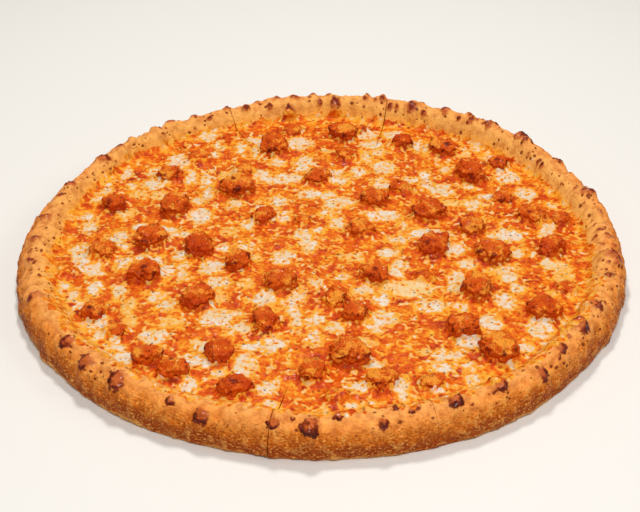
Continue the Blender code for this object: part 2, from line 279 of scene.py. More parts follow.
def make_light(name, place, size, power, colour):
    data = bpy.data.lights.new(name, "AREA")
    data.shape = "DISK"
    data.size = size
    data.energy = power
    data.color = colour
    light = bpy.data.objects.new(name, data)
    light.location = place
    light.rotation_euler = (-Vector(place)).to_track_quat("-Z", "Y").to_euler()
    bpy.context.scene.collection.objects.link(light)


for light in LIGHTS:
    make_light(*light)
world = bpy.data.worlds.new("room")
world.use_nodes = True
world.node_tree.nodes["Background"].inputs["Color"].default_value = (1.0, 0.985, 0.965, 1.0)
world.node_tree.nodes["Background"].inputs["Strength"].default_value = ROOM_LIGHT
bpy.context.scene.world = world
bpy.context.scene.view_settings.view_transform = "Standard"
print("lights:", [light[0] for light in LIGHTS])

# %% [markdown]
# The solids were worked out from a few sizes: the rim's section, where the rim puffed up, the cuts and
# the blisters. The finer meshes repeat the same rules with many more points, so they keep the form of
# the solids. Bearings are degrees clockwise from the far side.

# %% The pizza's driving sizes
PIZZA_RADIUS = 219 * MM
RIM_WIDTH = 27 * MM
RIM_HEIGHT = 25 * MM
FLOOR_HEIGHT = 10 * MM
TOPPING_TOP = 16 * MM
KERF = 0.7 * MM
GAP = 0.45 * MM
CUT_BEARINGS = (-21.5, 15.0, 67.0, 111.5, 161.0, 188.5, 246.0, 285.5, 338.5)
HUB = np.array((12 * MM, -11 * MM))
PUFF_BEARING = 18.0
PUFF_SPREAD = 84.0
PUFF_REACH = 10 * MM
PUFF_WIDTH = 3 * MM
PUFF_RISE = 6 * MM
LIP_SLOPE = 2.5 * MM
NARROWS = ((-45.0, 38.0, 0.0, 4.5), (125.0, 32.0, 3.0, 0.0))
RIM_SWELL = 0.11
EDGE_WANDER = 1.5 * MM
LIP_WANDER = 3.0 * MM
SWELL_NOISE = (4.3, 1.9)
EDGE_NOISE = (2.2, 3.7)
LIP_NOISE = (5.5, 8.1)
SLICE_STEP = 0.22

# How far in as a share of the rim's width, how high as a share of its height, share of the puff.
RIM_SECTION = np.array((
    (0.07, 0.00, 0.00), (0.01, 0.09, 0.06), (0.00, 0.30, 0.25), (0.05, 0.56, 0.50), (0.20, 0.80, 0.85),
    (0.40, 0.96, 1.00), (0.60, 0.99, 1.00), (0.78, 0.90, 0.75), (0.91, 0.77, 0.30), (1.00, 0.67, 0.00),
))

# Blisters: bearing, distance in from the edge and width in mm, and how dark the oven made them.
BLISTERS = (
    (3, 21, 13, 0.50), (14, 15, 9, 0.45), (21, 18, 14, 0.50), (29, 14, 13, 0.55), (35, 13, 9, 0.55),
    (40, 13, 11, 0.60), (49, 11, 18, 1.00), (60, 9, 13, 0.45), (74, 12, 17, 0.60), (90, 11, 11, 0.45),
    (98, 11, 20, 0.55), (105, 14, 9, 0.40), (116, 15, 16, 0.45), (124, 13, 18, 0.90),
    (132, 12, 14, 0.50), (139, 7, 12, 0.65), (148, 13, 14, 0.75), (157, 13, 14, 0.85),
    (167, 17, 10, 0.80), (170, 7, 9, 0.80), (182, 7, 15, 0.90), (188, 7, 9, 0.80), (200, 6, 14, 0.95),
    (206, 9, 9, 0.50), (217, 8, 16, 0.90), (225, 8, 14, 0.65), (232, 10, 14, 0.65), (248, 11, 16, 0.40),
    (261, 12, 10, 0.50), (268, 13, 14, 0.65), (277, 13, 15, 0.65), (290, 15, 12, 0.60),
    (303, 15, 17, 0.90), (309, 15, 12, 0.50), (320, 15, 11, 0.35), (324, 11, 14, 0.70),
    (330, 12, 9, 0.60), (338, 13, 9, 0.50), (345, 12, 9, 0.35), (352, 25, 15, 0.70), (358, 11, 9, 0.35),
)
BLISTER_RISE = 0.24
BLISTER_REACH = 0.62
BLISTER_STRETCH = 0.8

# %% [markdown]
# The rim's plan and section come from smooth noise read on a circle, which closes on itself. Each
# function takes a whole array of bearings, so that thousands of points cost one call.

# %% The rim's form
def smooth(value, low, high):
    """0 below `low`, 1 above `high` and smooth between them."""
    share = np.clip((value - low) / (high - low), 0.0, 1.0)
    return share * share * (3 - 2 * share)


def between(ends, share):
    """Part of the way from the first of two ends to the second."""
    return ends[0] + (ends[1] - ends[0]) * share


def heading(bearings):
    angle = np.radians(bearings)
    return np.stack((np.sin(angle), np.cos(angle)), -1)


def around(bearings, waves, step=0.0):
    turns, row = waves
    return np.array([noise.noise((x, y, row + step)) for x, y in heading(bearings) * turns])


def turn_from(bearings, centre):
    return (bearings - centre + 180) % 360 - 180


def stretch(bearings, centre, spread):
    turn = turn_from(bearings, centre)
    return np.where(np.abs(turn) > spread, 0.0, np.cos(math.pi / 2 * turn / spread) ** 2)


def puff(bearings):
    return stretch(bearings, PUFF_BEARING, PUFF_SPREAD)


def edge_radius(bearings):
    radius = PIZZA_RADIUS + PUFF_REACH * puff(bearings) + EDGE_WANDER * around(bearings, EDGE_NOISE)
    for centre, spread, edge_in, _ in NARROWS:
        radius = radius - edge_in * MM * stretch(bearings, centre, spread)
    return radius


def rim_width(bearings):
    width = RIM_WIDTH + PUFF_WIDTH * puff(bearings) + LIP_WANDER * around(bearings, LIP_NOISE)
    for centre, spread, edge_in, lip_out in NARROWS:
        width = width - (edge_in + lip_out) * MM * stretch(bearings, centre, spread)
    return width


def curve_through(points, spots):
    """A smooth curve through rows of points, read at fractional row numbers."""
    last = len(points) - 1
    base = np.clip(np.floor(spots).astype(int), 0, last - 1)
    f = (spots - base)[:, None]
    a, b, c, d = (points[np.clip(base + k, 0, last)] for k in (-1, 0, 1, 2))
    return 0.5 * (2 * b + (c - a) * f + (2 * a - 5 * b + 4 * c - d) * f**2 + (3 * b - a - 3 * c + d) * f**3)


# %% [markdown]
# The section is read at points a millimetre apart along its length, so a crumb of dough is the same
# size on the outer side, the crest and the inner slope. The direction across the section at each point
# is where blisters and pebbles are pushed out.

# %% The rim's section in fine steps
SECTION_ROWS = 68
dense = np.linspace(0, len(RIM_SECTION) - 1, 600)
line = curve_through(RIM_SECTION, dense)[:, :2] * (RIM_WIDTH, RIM_HEIGHT)
run = np.concatenate(([0.0], np.cumsum(np.hypot(*np.diff(line, axis=0).T))))
SECTION_RUN = np.linspace(0.0, run[-1], SECTION_ROWS)
SECTION_SPOTS = np.interp(SECTION_RUN, run, dense)
SHARE, UP, LIFTED = curve_through(RIM_SECTION, SECTION_SPOTS).T
UP[0] = 0.0
slope_in = np.gradient(SHARE * RIM_WIDTH, SECTION_RUN)
slope_up = np.gradient(UP * RIM_HEIGHT, SECTION_RUN)
PUSH_OUT = slope_up / np.hypot(slope_in, slope_up)
PUSH_UP = slope_in / np.hypot(slope_in, slope_up)
print("section length in mm:", round(run[-1] / MM, 1), "step:", round(SECTION_RUN[1] / MM, 2))

# %% [markdown]
# Natural surfaces are sums of bumps of different sizes. The noise below gives smooth hills of a chosen
# width from two coordinates, for whole arrays at once. Its seed fixes it, so every run is the same.

# %% Noise for arrays
NOISE_TABLE = 4096


def ripple(x, y, size, seed):
    """Smooth noise, about -1 to 1, with hills about `size` across."""
    angles = np.random.default_rng(seed).uniform(0, math.tau, NOISE_TABLE)
    across, along = x / size, y / size
    column, row = np.floor(across).astype(np.int64), np.floor(along).astype(np.int64)
    fx, fy = across - column, along - row

    def corner(dx, dy):
        spin = angles[((column + dx) * 1619 + (row + dy) * 31337 + seed * 71) % NOISE_TABLE]
        return np.cos(spin) * (fx - dx) + np.sin(spin) * (fy - dy)

    ease_x, ease_y = fx**3 * (fx * (fx * 6 - 15) + 10), fy**3 * (fy * (fy * 6 - 15) + 10)
    low = corner(0, 0) * (1 - ease_x) + corner(1, 0) * ease_x
    high = corner(0, 1) * (1 - ease_x) + corner(1, 1) * ease_x
    return 1.5 * (low * (1 - ease_y) + high * ease_y)


def ripples(x, y, rows):
    """A sum of ripples, from rows of rise, size and seed."""
    return sum(rise * ripple(x, y, size, seed) for rise, size, seed in rows)


sample = ripple(np.linspace(0, 1, 999), np.zeros(999), 0.05, 1)
print("lowest and highest of a ripple:", round(float(sample.min()), 2), round(float(sample.max()), 2))


# %% [markdown]
# A mesh of this kind is one list of points, one of faces and some values for each point, which the
# finishes read. One function makes the object, and says which solid it stands for.

# %% Make a piece
SHARP_ANGLE = math.radians(62)
piece_faces = {}


def make_piece(name, points, faces, marks, finish, nodes):
    """A named mesh that rides on the pizza and replaces some of its solids."""
    mesh = bpy.data.meshes.new(name)
    in_frame = np.clip(np.asarray(points) + np.array(PLAN_TO_FRAME), cad_box[0], cad_box[1])
    mesh.from_pydata([tuple(point) for point in in_frame], [], faces)
    for label, values in marks.items():
        mark = mesh.attributes.new(label, "FLOAT", "POINT")
        mark.data.foreach_set("value", np.asarray(values, np.float32))
    form = bmesh.new()
    form.from_mesh(mesh)
    bmesh.ops.recalc_face_normals(form, faces=form.faces)
    form.to_mesh(mesh)
    form.free()
    mesh.shade_smooth()
    mesh.set_sharp_from_angle(angle=SHARP_ANGLE)
    mesh.materials.append(finish.material)
    piece = bpy.data.objects.new(name, mesh)
    bpy.context.scene.collection.objects.link(piece)
    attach(piece, "root")
    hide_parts(*nodes)
    piece_faces[name] = sum(len(face) - 2 for face in faces)
    return piece


# %% [markdown]
# The melted surface is drawn on square sheets of values, one value every half millimetre, as a relief
# map would be. They could be images, but plain arrays keep the rules in sight. `read` gives a sheet's
# value at any place, and `window` the part of it round a place, which is all that a small mark needs.

# %% Sheets of values
SHEET_STEP = 0.5 * MM
SHEET_HALF = 216 * MM
SHEET_SIZE = int(round(2 * SHEET_HALF / SHEET_STEP)) + 1
steps = np.linspace(-SHEET_HALF, SHEET_HALF, SHEET_SIZE)
SHEET_X, SHEET_Y = np.meshgrid(steps, steps)


def read(sheet, x, y):
    """A sheet's value at any places, blended from its four nearest values."""
    u = np.clip((x + SHEET_HALF) / SHEET_STEP, 0, SHEET_SIZE - 1.001)
    v = np.clip((y + SHEET_HALF) / SHEET_STEP, 0, SHEET_SIZE - 1.001)
    i, j = u.astype(int), v.astype(int)
    fu, fv = u - i, v - j
    low = sheet[j, i] * (1 - fu) + sheet[j, i + 1] * fu
    high = sheet[j + 1, i] * (1 - fu) + sheet[j + 1, i + 1] * fu
    return low * (1 - fv) + high * fv


def hills(size, seed):
    """Smooth noise over the whole sheet."""
    return ripple(SHEET_X, SHEET_Y, size, seed)


def window(place, reach):
    """The part of the sheets within reach of a place, as a pair of slices."""
    ends = (((place + way * reach + SHEET_HALF) / SHEET_STEP).astype(int) for way in (-1, 1))
    low, high = (np.clip(end, 0, SHEET_SIZE) for end in ends)
    return slice(low[1], high[1]), slice(low[0], high[0])


def soften(sheet, radius):
    """Spreads a sheet out, as melting does."""
    waves_x = np.fft.rfftfreq(SHEET_SIZE, SHEET_STEP)
    waves_y = np.fft.fftfreq(SHEET_SIZE, SHEET_STEP)[:, None]
    keep = np.exp(-2 * (math.pi * radius) ** 2 * (waves_x**2 + waves_y**2))
    return np.fft.irfft2(np.fft.rfft2(sheet) * keep, sheet.shape)


print("sheet:", SHEET_SIZE, "squared")

# %% [markdown]
# Diced chicken was strewn by hand, thicker in some slices than in others. The tables give each piece's
# middle and length in mm, one row for each slice: first the dice, then the small scraps, which are too
# many for solids of their own and belong to the bed that they lie in.

# %% The chicken's places
CHICKEN = (
    ((-38, 146, 25), (18, 167, 23), (-3, 96, 20)),
    (
        (66, 154, 18), (98, 143, 21), (140, 117, 20), (118, 100, 26),
        (40, 62, 21), (62, 79, 17), (29, 18, 19), (79, 41, 25),
    ),
    ((110, 21, 20), (157, 37, 22), (80, -5, 25), (122, -14, 26), (165, -8, 22)),
    ((37, -42, 21), (107, -60, 24), (150, -85, 23), (94, -104, 23), (115, -131, 25)),
    ((9, -70, 20), (23, -88, 18), (18, -134, 26), (-5, -153, 19), (38, -161, 20)),
    (
        (-27, -52, 22), (-85, -72, 25), (-37, -98, 22), (-113, -138, 20),
        (-94, -152, 20), (-65, -135, 21), (-54, -170, 21), (-153, -86, 19),
    ),
    ((-124, -40, 22), (-158, -10, 20), (-88, -6, 25), (-124, 5, 24), (-58, -25, 20)),
    ((-118, 101, 20), (-65, 78, 26), (-110, 49, 24), (-157, 54, 20), (-43, 37, 20)),
)
SCRAPS = (
    ((-24, 175, 15), (20, 133, 17), (34, 177, 13)),
    ((138, 64, 16),),
    ((179, 33, 15), (171, -57, 15)),
    ((73, -42, 14), (69, -164, 16)),
    ((10, -176, 14),),
    ((-137, -107, 15),),
    ((-179, -33, 14),),
    ((-97, 128, 18), (-60, 107, 17), (-13, 32, 13)),
)
SLICES = tuple(zip(CUT_BEARINGS, CUT_BEARINGS[1:]))
print("dice in each slice:", [len(row) for row in CHICKEN], "scraps:", [len(row) for row in SCRAPS])

# %% [markdown]
# Each piece of chicken is a rounded square of uneven corners with a flat seat, as the solids have it.
# The same seeded draws are repeated here in the same order, which gives the same plan and height.

# %% The form of a piece
DICE_SIDES = 9
DICE_HALF = 0.46
DICE_NARROW = (0.74, 0.96)
DICE_UNEVEN = (0.90, 1.06)
DICE_TALL = (0.85, 1.1)
RING_UNEVEN = 0.08
CROWN_UNEVEN = (-0.05, 0.03)
DICE_HEIGHT = 0.50
DICE_LEAN = 0.05
DICE_CROWN = 0.42
DICE_LEVELS = ((0.90, 0.0), (1.00, 0.22), (1.03, 0.52), (0.86, 0.84))
UNEVEN_ABOVE = 0.4
OUTLINE_SEED = 400
DICE_SEED = 900


def dice_outline(index, length):
    """The corners of a piece's plan: a rounded square, turned and made uneven by its own draws."""
    rng = random.Random(OUTLINE_SEED + index)
    turn = rng.uniform(0, math.pi)
    narrow = rng.uniform(*DICE_NARROW)
    outline = []
    for i in range(DICE_SIDES):
        angle = math.tau * i / DICE_SIDES
        square = (math.cos(angle) ** 4 + math.sin(angle) ** 4) ** -0.25
        radius = DICE_HALF * length * square * rng.uniform(*DICE_UNEVEN)
        along, across = radius * math.cos(angle), radius * math.sin(angle) * narrow
        x = along * math.cos(turn) - across * math.sin(turn)
        y = along * math.sin(turn) + across * math.cos(turn)
        outline.append((x, y))
    return np.array(outline)


def dice_levels(index, centre, length, seat, height):
    """The rings of points of a piece of chicken, from its seat to its crown."""
    outline = dice_outline(index, length)
    rng = random.Random(DICE_SEED + index)
    tall = height * rng.uniform(*DICE_TALL)
    lean = np.array((rng.uniform(-1, 1), rng.uniform(-1, 1))) * DICE_LEAN * length
    rings = []
    for scale, up in DICE_LEVELS:
        ring = np.full((DICE_SIDES, 3), seat + tall * up)
        ring[:, :2] = centre + lean * up + outline * scale
        if up > UNEVEN_ABOVE:
            ring[:, 2] += [rng.uniform(-RING_UNEVEN, RING_UNEVEN) * tall for _ in range(DICE_SIDES)]
        rings.append(ring)
    crown = [rng.uniform(*CROWN_UNEVEN) * tall for _ in outline[::3]]
    turns = np.arange(DICE_SIDES)
    ring = np.empty((DICE_SIDES, 3))
    ring[:, :2] = centre + lean + outline * DICE_CROWN
    ring[:, 2] = seat + tall + np.interp(turns, (0, 3, 6, 9), (*crown, crown[0]))
    rings.append(ring)
    return rings


print("corners of the first piece:", len(dice_outline(1, 25 * MM)))

# %% [markdown]
# A cut moves each slice out a little, and the chicken moves with its slice. The list keeps what every
# later step needs to know of a piece. The first piece is then compared with the box of its solid, which
# shows how far the plan's middle lies from the frame's.

# %% List the chicken
SEAT_DEPTH = 2.0 * MM
SCRAP_SEEDS = 100
SCRAP_HEIGHT = 0.34
SCRAP_ROOT = 2.5 * MM


def slice_shift(start, end):
    """How far a slice is drawn out from the hub to open the cuts on its two sides."""
    first, last = heading(np.array((start, end))) * PIZZA_RADIUS - HUB
    first, last = first / np.hypot(*first), last / np.hypot(*last)
    middle = (first + last) / np.hypot(*(first + last))
    half = math.acos(float(first @ last)) / 2
    return middle * (KERF / 2 / math.sin(half))


def list_chicken():
    """Every piece of chicken: its slice, name or None, seeds, centre, length, seat and height."""
    pieces = []
    index = 0
    for number, (large, small) in enumerate(zip(CHICKEN, SCRAPS), 1):
        shift = slice_shift(*SLICES[number - 1])
        for x, y, length in large:
            index += 1
            centre = np.array((x, y)) * MM + shift
            seat = TOPPING_TOP - SEAT_DEPTH + GAP
            pieces.append((number, f"chicken_{index:02d}", index, centre, length * MM, seat,
                           DICE_HEIGHT * length * MM))
        for i, (x, y, length) in enumerate(small):
            centre = np.array((x, y)) * MM + shift
            pieces.append((number, None, SCRAP_SEEDS * number + i, centre, length * MM,
                           TOPPING_TOP - SCRAP_ROOT, SCRAP_HEIGHT * length * MM + SCRAP_ROOT))
    return pieces


PIECES = list_chicken()
first = np.concatenate(dice_levels(*PIECES[0][2:]))
measured = np.array(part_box(PIECES[0][1])[0]) - first.min(0)
print("pieces of chicken:", len(PIECES), "plan to frame in mm:", np.round(measured / MM, 3))

# %% [markdown]
# The lip is where the topping meets the rim. Its distance from the edge is worked out once for every
# quarter of a degree, and then read between those.

# %% Where the lip is
RING = np.arange(0.0, 360.0, 0.25)
RING_EDGE = edge_radius(RING)
RING_WIDTH = rim_width(RING)


def ring_read(values, bearings):
    return np.interp(bearings, RING, values, period=360.0)


def bearing_of(x, y):
    return np.degrees(np.arctan2(x, y))


def inside_lip(x, y):
    """How far a place lies inside the lip, in metres; negative on the rim."""
    bearings = bearing_of(x, y)
    return ring_read(RING_EDGE - RING_WIDTH, bearings) - np.hypot(x, y)


lip_room = inside_lip(SHEET_X, SHEET_Y)
print("topping area in square cm:", round(float((lip_room > 0).sum()) * (SHEET_STEP / 0.01) ** 2))

# %% [markdown]
# Cheese and sauce pile up round the foot of each piece of chicken. The sheet of distances to the
# nearest piece lets the bed rise there, and turns the sauce redder where it gathers.

# %% Distance to the chicken
FAR_AWAY = 30 * MM
ROUND_PIECE = 12 * MM


def distance_sheet():
    away = np.full(SHEET_X.shape, FAR_AWAY)
    for _, _, index, centre, length, *_ in PIECES:
        outline = dice_outline(index, length)
        part = window(centre, length * 0.6 + ROUND_PIECE)
        dx, dy = SHEET_X[part] - centre[0], SHEET_Y[part] - centre[1]
        angles = np.degrees(np.arctan2(outline[:, 1], outline[:, 0]))
        order = np.argsort(angles)
        sizes = np.hypot(*outline.T)[order]
        rim = np.interp(np.degrees(np.arctan2(dy, dx)), angles[order], sizes, period=360.0)
        away[part] = np.minimum(away[part], np.hypot(dx, dy) - rim)
    return away


chicken_away = distance_sheet()
print("covered by chicken:", round(float((chicken_away < 0).mean()), 3))

# %% [markdown]
# Grated cheese melted into cream-coloured patches, 4 to 30 mm across, where most of it fell. Between
# them it is thin and soaked with orange sauce. The tables say where the patches lie, where the cheese
# stayed yellow and where the sauce is reddest: place and size of an oval, in mm from the middle.

# %% Where the cheese and the red sauce lie
PATCHES = (
    (-94, 167, 14, 12), (-54, 161, 14, 10), (-18, 155, 20, 20), (-83, 150, 8, 8), (-66, 147, 7, 13),
    (-54, 141, 6, 16), (-86, 137, 8, 8), (-114, 125, 18, 22), (-35, 125, 11, 13), (-14, 125, 14, 18),
    (-15, 113, 8, 10), (-132, 109, 10, 12), (-155, 108, 8, 12), (-47, 107, 11, 12), (-44, 99, 12, 12),
    (-28, 97, 22, 14), (-103, 101, 8, 18), (-90, 98, 8, 18), (-147, 87, 6, 10), (-130, 90, 18, 15),
    (-87, 75, 7, 20), (-167, 82, 6, 16), (-173, 66, 6, 12), (-9, 74, 15, 14), (-94, 62, 8, 10),
    (-67, 58, 12, 10), (-32, 62, 14, 12), (-42, 52, 14, 8), (-91, 45, 13, 12), (-91, 36, 14, 12),
    (-28, 40, 10, 13), (-55, 28, 8, 10), (-176, 39, 7, 10), (-173, 26, 10, 14), (-114, 22, 13, 9),
    (-102, 15, 14, 8), (-149, 10, 14, 13), (-136, 26, 7, 7), (-14, 14, 11, 14), (-3, 20, 8, 8),
    (-10, 2, 12, 12),
    (39, 169, 15, 16), (62, 170, 20, 14), (43, 154, 16, 12), (78, 150, 6, 15), (85, 147, 4, 14),
    (46, 140, 9, 11), (36, 133, 8, 14), (118, 146, 9, 8), (127, 148, 8, 12), (135, 132, 9, 9),
    (50, 115, 17, 20), (30, 110, 10, 13), (12, 107, 12, 10), (15, 95, 12, 11), (47, 89, 11, 17),
    (72, 96, 12, 9), (82, 103, 8, 13), (82, 88, 7, 18), (93, 80, 19, 18), (114, 84, 8, 6),
    (99, 113, 7, 12), (147, 100, 20, 18), (166, 115, 8, 12), (158, 75, 15, 16), (128, 69, 13, 10),
    (177, 57, 8, 8), (116, 57, 12, 14), (13, 60, 22, 16), (5, 73, 10, 10), (46, 42, 24, 14),
    (12, 32, 11, 16), (4, 45, 8, 8), (79, 17, 24, 12), (56, 9, 16, 11), (93, 12, 8, 8),
    (136, 13, 26, 16), (168, 18, 10, 26), (165, 36, 6, 12), (61, 27, 6, 10),
    (-175, -9, 14, 18), (-173, -24, 10, 14), (-163, -33, 15, 16), (-180, -56, 7, 14), (-158, -57, 9, 14),
    (-173, -66, 9, 14), (-167, -76, 10, 8), (-151, -98, 16, 15), (-148, -114, 6, 14), (-142, -24, 12, 14),
    (-144, -3, 8, 6), (-128, -16, 13, 9), (-117, -21, 7, 12), (-103, -13, 8, 8), (-111, -35, 9, 16),
    (-99, -34, 8, 18), (-78, -29, 17, 16), (-72, -49, 16, 14), (-72, -4, 10, 10), (-55, -2, 10, 6),
    (-27, -16, 14, 17), (-9, -3, 10, 8), (-140, -60, 9, 16), (-114, -67, 12, 12), (-106, -77, 12, 12),
    (-39, -70, 14, 20), (-23, -74, 10, 12), (-15, -66, 9, 14), (-5, -50, 8, 12), (-20, -85, 10, 8),
    (-70, -92, 22, 18), (-57, -86, 8, 8), (-55, -105, 15, 10), (-16, -94, 7, 16), (-4, -94, 9, 15),
    (-111, -113, 17, 17), (-78, -125, 9, 10), (-47, -124, 10, 8), (-33, -122, 18, 14), (-5, -114, 9, 14),
    (-144, -126, 8, 12), (-136, -118, 5, 5), (-129, -138, 16, 10), (-133, -125, 10, 8),
    (-86, -140, 15, 14), (-75, -144, 8, 8), (-49, -146, 13, 28), (-84, -165, 10, 14),
    (-35, -168, 13, 12), (-67, -153, 8, 8), (-32, -185, 8, 8),
    (97, -6, 14, 14), (49, -10, 16, 11), (56, -26, 7, 12), (53, -34, 9, 12), (15, -43, 8, 10),
    (104, -25, 12, 12), (129, -33, 15, 10), (141, -11, 8, 12), (132, -43, 12, 9), (95, -43, 11, 16),
    (92, -57, 12, 10), (137, -54, 6, 12), (162, -25, 10, 12), (60, -57, 30, 15), (29, -60, 16, 10),
    (42, -70, 12, 12), (74, -77, 20, 14), (96, -80, 7, 10), (126, -71, 13, 16), (43, -92, 17, 17),
    (36, -102, 9, 13), (8, -103, 11, 10), (113, -99, 16, 18), (146, -104, 16, 22), (98, -119, 17, 13),
    (133, -126, 13, 10), (79, -134, 11, 12), (89, -134, 6, 10), (77, -148, 14, 10), (94, -145, 6, 9),
    (120, -144, 8, 8), (96, -159, 9, 12), (72, -171, 8, 7), (25, -168, 10, 10), (19, -186, 8, 7),
    (51, -170, 8, 20), (34, -143, 12, 8),
)
GOLDS = (
    (-72, 103, 20, 20), (-148, 45, 14, 14), (-68, 20, 14, 14), (-141, 74, 16, 14), (-126, 72, 13, 15),
    (6, 144, 12, 8), (115, 136, 12, 10), (22, -16, 18, 14), (-132, -80, 12, 22), (-130, -95, 12, 12),
    (-48, -16, 12, 12), (-52, -50, 12, 12), (-70, -68, 14, 14), (60, -57, 36, 22), (171, -36, 16, 34),
    (160, -63, 10, 10), (66, -130, 10, 10), (100, 60, 20, 12), (30, -120, 18, 12), (-100, -95, 16, 12),
)
REDS = (
    (186, -23, 5, 38), (175, -60, 12, 12), (180, 35, 10, 14), (112, 157, 22, 10), (90, 172, 24, 9),
    (145, 118, 14, 12), (-75, 168, 18, 10), (-28, 182, 40, 10), (-110, 150, 22, 10), (-130, 132, 18, 12),
    (-145, 100, 12, 16), (-160, 82, 10, 16), (-181, -32, 8, 16), (-170, -88, 12, 22), (10, -178, 22, 10),
    (-80, 160, 14, 10), (-70, -100, 12, 10), (108, 40, 16, 12), (148, -45, 12, 12), (85, -150, 14, 10),
    (65, -100, 16, 12), (2, 182, 22, 8), (160, -100, 10, 18), (-100, -160, 16, 8),
)

print("patches:", len(PATCHES), "golden ovals:", len(GOLDS), "red ovals:", len(REDS))

# %% [markdown]
# An oval with a ruler-smooth edge looks stamped, so noise bends the plane before the distance to each
# oval is taken. Small crisp spots along the lip, where sauce baked dark, are drawn by a seeded loop.

# %% How far inside the ovals
CRISPS = 70
CRISP_SEED = 5
CRISP_PLACE = (-6.0, 5.0)
CRISP_SIZE = (2.5, 6.0)
OVAL_REACH = 10 * MM
OUTSIDE = -8 * MM


def ovals(spots, wander, seed):
    """How far inside the nearest of some ovals each place is, in metres; their outlines wander."""
    x, y = (
        sheet + wander * (hills(3.0 * wander, seed + turn) + 0.6 * hills(1.2 * wander, seed + turn + 1))
        for sheet, turn in ((SHEET_X, 0), (SHEET_Y, 2))
    )
    inside = np.full(SHEET_X.shape, OUTSIDE)
    for spot in spots:
        place, half = np.array(spot[:2]) * MM, np.array(spot[2:]) * MM / 2
        part = window(place, half.max() + OVAL_REACH)
        away = np.hypot((x[part] - place[0]) / half[0], (y[part] - place[1]) / half[1])
        inside[part] = np.maximum(inside[part], (1 - away) * half.min())
    return inside


def crisp_spots():
    """Small places along the lip where the sauce baked dark."""
    rng = np.random.default_rng(CRISP_SEED)
    bearings = rng.uniform(0, 360, CRISPS)
    radius = (edge_radius(bearings) - rim_width(bearings)) / MM + rng.uniform(*CRISP_PLACE, CRISPS)
    spots = heading(bearings) * radius[:, None]
    return [(*spot, *rng.uniform(*CRISP_SIZE, 2)) for spot in spots]


in_patch = ovals(PATCHES, 2.4 * MM, 13)
in_crisp = ovals(crisp_spots(), 1.2 * MM, 27)
in_gold = ovals(GOLDS, 2.4 * MM, 23)
in_red = ovals(REDS, 2.8 * MM, 33)
golden = smooth(in_gold, -2 * MM, 2 * MM)
print("share under patches:", round(float((in_patch > 0)[lip_room > 0].mean()), 2))

# %% [markdown]
# Shreds that landed between the patches kept their shape: short bent capsules, about 2 mm wide. They
# are stamped on the sheet one by one, most of them beside a patch. Thin cheese lies round the patches,
# in loose flecks and in stretches along the lip. Small round holes are where steam came through, and
# let the orange show. Softening the sheet a little is the melting.

# %% Lay the cheese
SHREDS = 16000
SHRED_LENGTH = (2 * MM, 7 * MM)
SHRED_WIDTH = (1.3 * MM, 2.4 * MM)
THIN_CHEESE = 0.66
GOLD_CHEESE = 0.56
HALO_CHEESE = 0.38
EDGE_CHEESE = 0.50
MELT_OUT = 0.5 * MM
MELT_BLUR = 0.32 * MM
SHRED_REACH = 8 * MM
SHRED_BEND = 0.9
SHRED_AREA = 195 * MM


def lay_shreds(chance_sheet, seed):
    rng = np.random.default_rng(seed)
    sheet = np.zeros(SHEET_X.shape)
    laid = 0
    for _ in range(SHREDS):
        place = rng.uniform(-1, 1, 2) * SHRED_AREA
        length, width = rng.uniform(*SHRED_LENGTH), rng.uniform(*SHRED_WIDTH)
        angle, bend = rng.uniform(0, math.pi), rng.normal(0, SHRED_BEND)
        lift, chance = rng.uniform(0.35, 1.0), rng.random()
        column, row = ((place + SHEET_HALF) / SHEET_STEP).astype(int)
        if chance > chance_sheet[row, column]:
            continue
        laid += 1
        part = window(place, SHRED_REACH)
        dx, dy = SHEET_X[part] - place[0], SHEET_Y[part] - place[1]
        along = dx * math.cos(angle) + dy * math.sin(angle)
        across = dy * math.cos(angle) - dx * math.sin(angle)
        across = across - bend * along**2 / length
        past = np.maximum(np.abs(along) - length / 2, 0.0)
        away = np.hypot(past, across) / (width / 2)
        sheet[part] = np.maximum(sheet[part], lift * np.sqrt(np.clip(1 - away**2, 0, 1)))
    print("shreds laid:", laid)
    return sheet


def cheese_sheet():
    """How thick the cheese is everywhere: the thickest of its layers, with the steam holes taken out."""
    fine = hills(2.0 * MM, 17)
    body = smooth(in_patch + MELT_OUT + 0.9 * MM * fine, -0.7 * MM, 0.9 * MM)
    flecks = hills(6 * MM, 18) + 0.8 * hills(2.6 * MM, 19)
    thin = THIN_CHEESE * smooth(flecks, 0.0, 0.85)
    halo = HALO_CHEESE * smooth(in_patch + MM * fine, -4.5 * MM, -0.5 * MM)
    chance = 0.10 + 0.45 * smooth(in_patch, -5 * MM, 0.0) + 0.30 * smooth(in_gold, -3 * MM, 0.0)
    shreds = lay_shreds(chance, 21)
    holes = smooth(hills(3.6 * MM, 20) + 0.4 * fine, 0.42, 0.66)
    edge = EDGE_CHEESE * (1 - smooth(lip_room, 3 * MM, 11 * MM)) * smooth(flecks, -0.9, 0.3)
    edge *= smooth(hills(13 * MM, 22), -0.45, 0.25)
    patches, gold = body * (0.66 + 0.34 * shreds), GOLD_CHEESE * golden + 0.25 * shreds
    sheet = np.maximum.reduce((patches, gold, thin, halo, edge, 0.85 * shreds))
    sheet *= (1 - 0.9 * holes) * (1 - smooth(in_crisp, -1 * MM, 1 * MM))
    return soften(sheet, MELT_BLUR)


cheese = cheese_sheet()
print("mean cheese:", round(float(cheese[lip_room > 0].mean()), 3))

# %% [markdown]
# Orange sauce covers what the patches leave. Its tone runs from yellow, where oil and thin cheese lie
# under it, to red, where it is deepest: at the foot of the chicken, at the red ovals and at the crisp
# spots. The sheet of wetness follows the same broad hills, since only sauce shines.

# %% Spread the sauce
FOOT_REACH = 2.5 * MM
USUAL_TONE = 0.46


